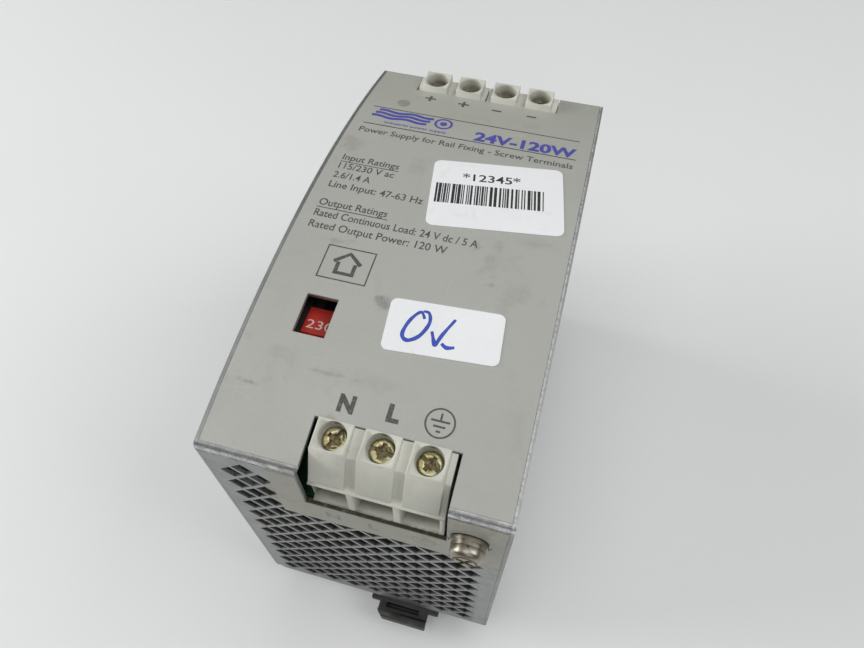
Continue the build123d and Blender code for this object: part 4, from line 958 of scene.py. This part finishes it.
HINGE = {j["name"]: j for j in record["behaviour"]["joints"]}
for key in ("n", "l", "earth", "plus_1", "plus_2", "minus_1", "minus_2"):
    j = HINGE["screw_%s_turn" % key]
    head_top = -2.1 if key in ("n", "l", "earth") else -1.7
    screw("terminal_screw_" + key, "clamp_screw_" + key, MATS["yellow_chromate"], RECESS["gold"], "screw_" + key,
          j["axis"], j["pos_m"], head_top, 2.6, 1.62)
lo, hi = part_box("earth_screw")
screw("earth_screw", "earth_terminal_screw", MATS["nickel_screw"], RECESS["nickel"], "case",
      (0, -1, 0), ((lo.x + hi.x) / 2, 0.0, (lo.z + hi.z) / 2), -lo.y / MM, 2.6, 1.6, 0.12, cuts=((lo.x + hi.x) / 2 / MM,))

# ------------------------------------------------------------------ floor, light, camera
scene = bpy.context.scene
scene.view_settings.view_transform = "Standard"
scene.view_settings.look = "None"

FLOOR_Z = CAD_LO[2] - 0.00002
bm = bmesh.new()
bmesh.ops.create_grid(bm, x_segments=2, y_segments=2, size=3.0)
me = bpy.data.meshes.new("floor")
bm.to_mesh(me)
bm.free()
floor = bpy.data.objects.new("floor", me)
floor.location = (0, 0, FLOOR_Z)
scene.collection.objects.link(floor)
fm = Mat("floor_paper")
fm.setp(Base_Color=fm.mix(fm.rng(fm.noise(3.0, 3, 0.5), 0.3, 0.7), (0.785, 0.800, 0.798), (0.815, 0.830, 0.826)), Roughness=0.55)
fm.p.inputs["Specular IOR Level"].default_value = 0.3
me.materials.append(fm.m)
floor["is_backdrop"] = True


def area(name, loc, target, size, power, color=(1, 1, 1), size_y=None):
    l = bpy.data.lights.new(name, "AREA")
    l.energy = power
    l.color = color
    l.size = size
    if size_y:
        l.shape = "RECTANGLE"
        l.size_y = size_y
    o = bpy.data.objects.new(name, l)
    o.location = loc
    o.rotation_euler = (Vector(target) - Vector(loc)).to_track_quat("-Z", "Y").to_euler()
    scene.collection.objects.link(o)
    return o


area("top_soft", (0.1, 0.30, 1.3), (0.0, 0.0, 0.0), 1.1, 3.35, (0.98, 0.99, 1.0), 0.9)
area("left_low", (-1.1, -0.1, 0.5), (0.0, 0.0, 0.05), 0.8, 10.0, (1.0, 0.998, 0.985), 0.6)
area("right_high", (0.8, 0.1, 0.9), (0.0, 0.0, 0.05), 0.9, 5.7, (0.99, 0.995, 1.0), 0.7)
area("front_top", (-0.1, -0.5, 1.2), (0.0, 0.0, 0.05), 0.8, 3.5, (1.0, 0.998, 0.985), 0.6)
area("front_fill", (0.35, -1.05, 0.75), (0.0, 0.0, 0.05), 0.8, 1.25, (1.0, 0.99, 0.97), 0.5)
area("back_high", (0.0, 1.0, 0.8), (0.0, 0.0, 0.05), 1.0, 0.7, (1.0, 1.0, 1.0), 0.6)

world = bpy.data.worlds.new("studio")
scene.world = world
world.use_nodes = True
bg = world.node_tree.nodes["Background"]
bg.inputs[0].default_value = (0.93, 0.96, 1.0, 1)
bg.inputs[1].default_value = 0.035

cam = bpy.data.cameras.new("camera")
cam.sensor_fit = "HORIZONTAL"
cam.sensor_width = 36.0
cam.lens = 671.503 / 864 * 36.0
cam.clip_start = 0.005
cam_obj = bpy.data.objects.new("camera", cam)
look = Vector((-0.153064, 0.545291, -0.824154)).normalized()
up = Vector((-0.217707, 0.794884, 0.566359)).normalized()
right = look.cross(up).normalized()
up = right.cross(look)
cam_obj.matrix_world = Matrix(((right.x, up.x, -look.x, 0.027788), (right.y, up.y, -look.y, -0.102097), (right.z, up.z, -look.z, 0.215276), (0, 0, 0, 1)))
scene.collection.objects.link(cam_obj)
scene.camera = cam_obj

lo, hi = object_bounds()
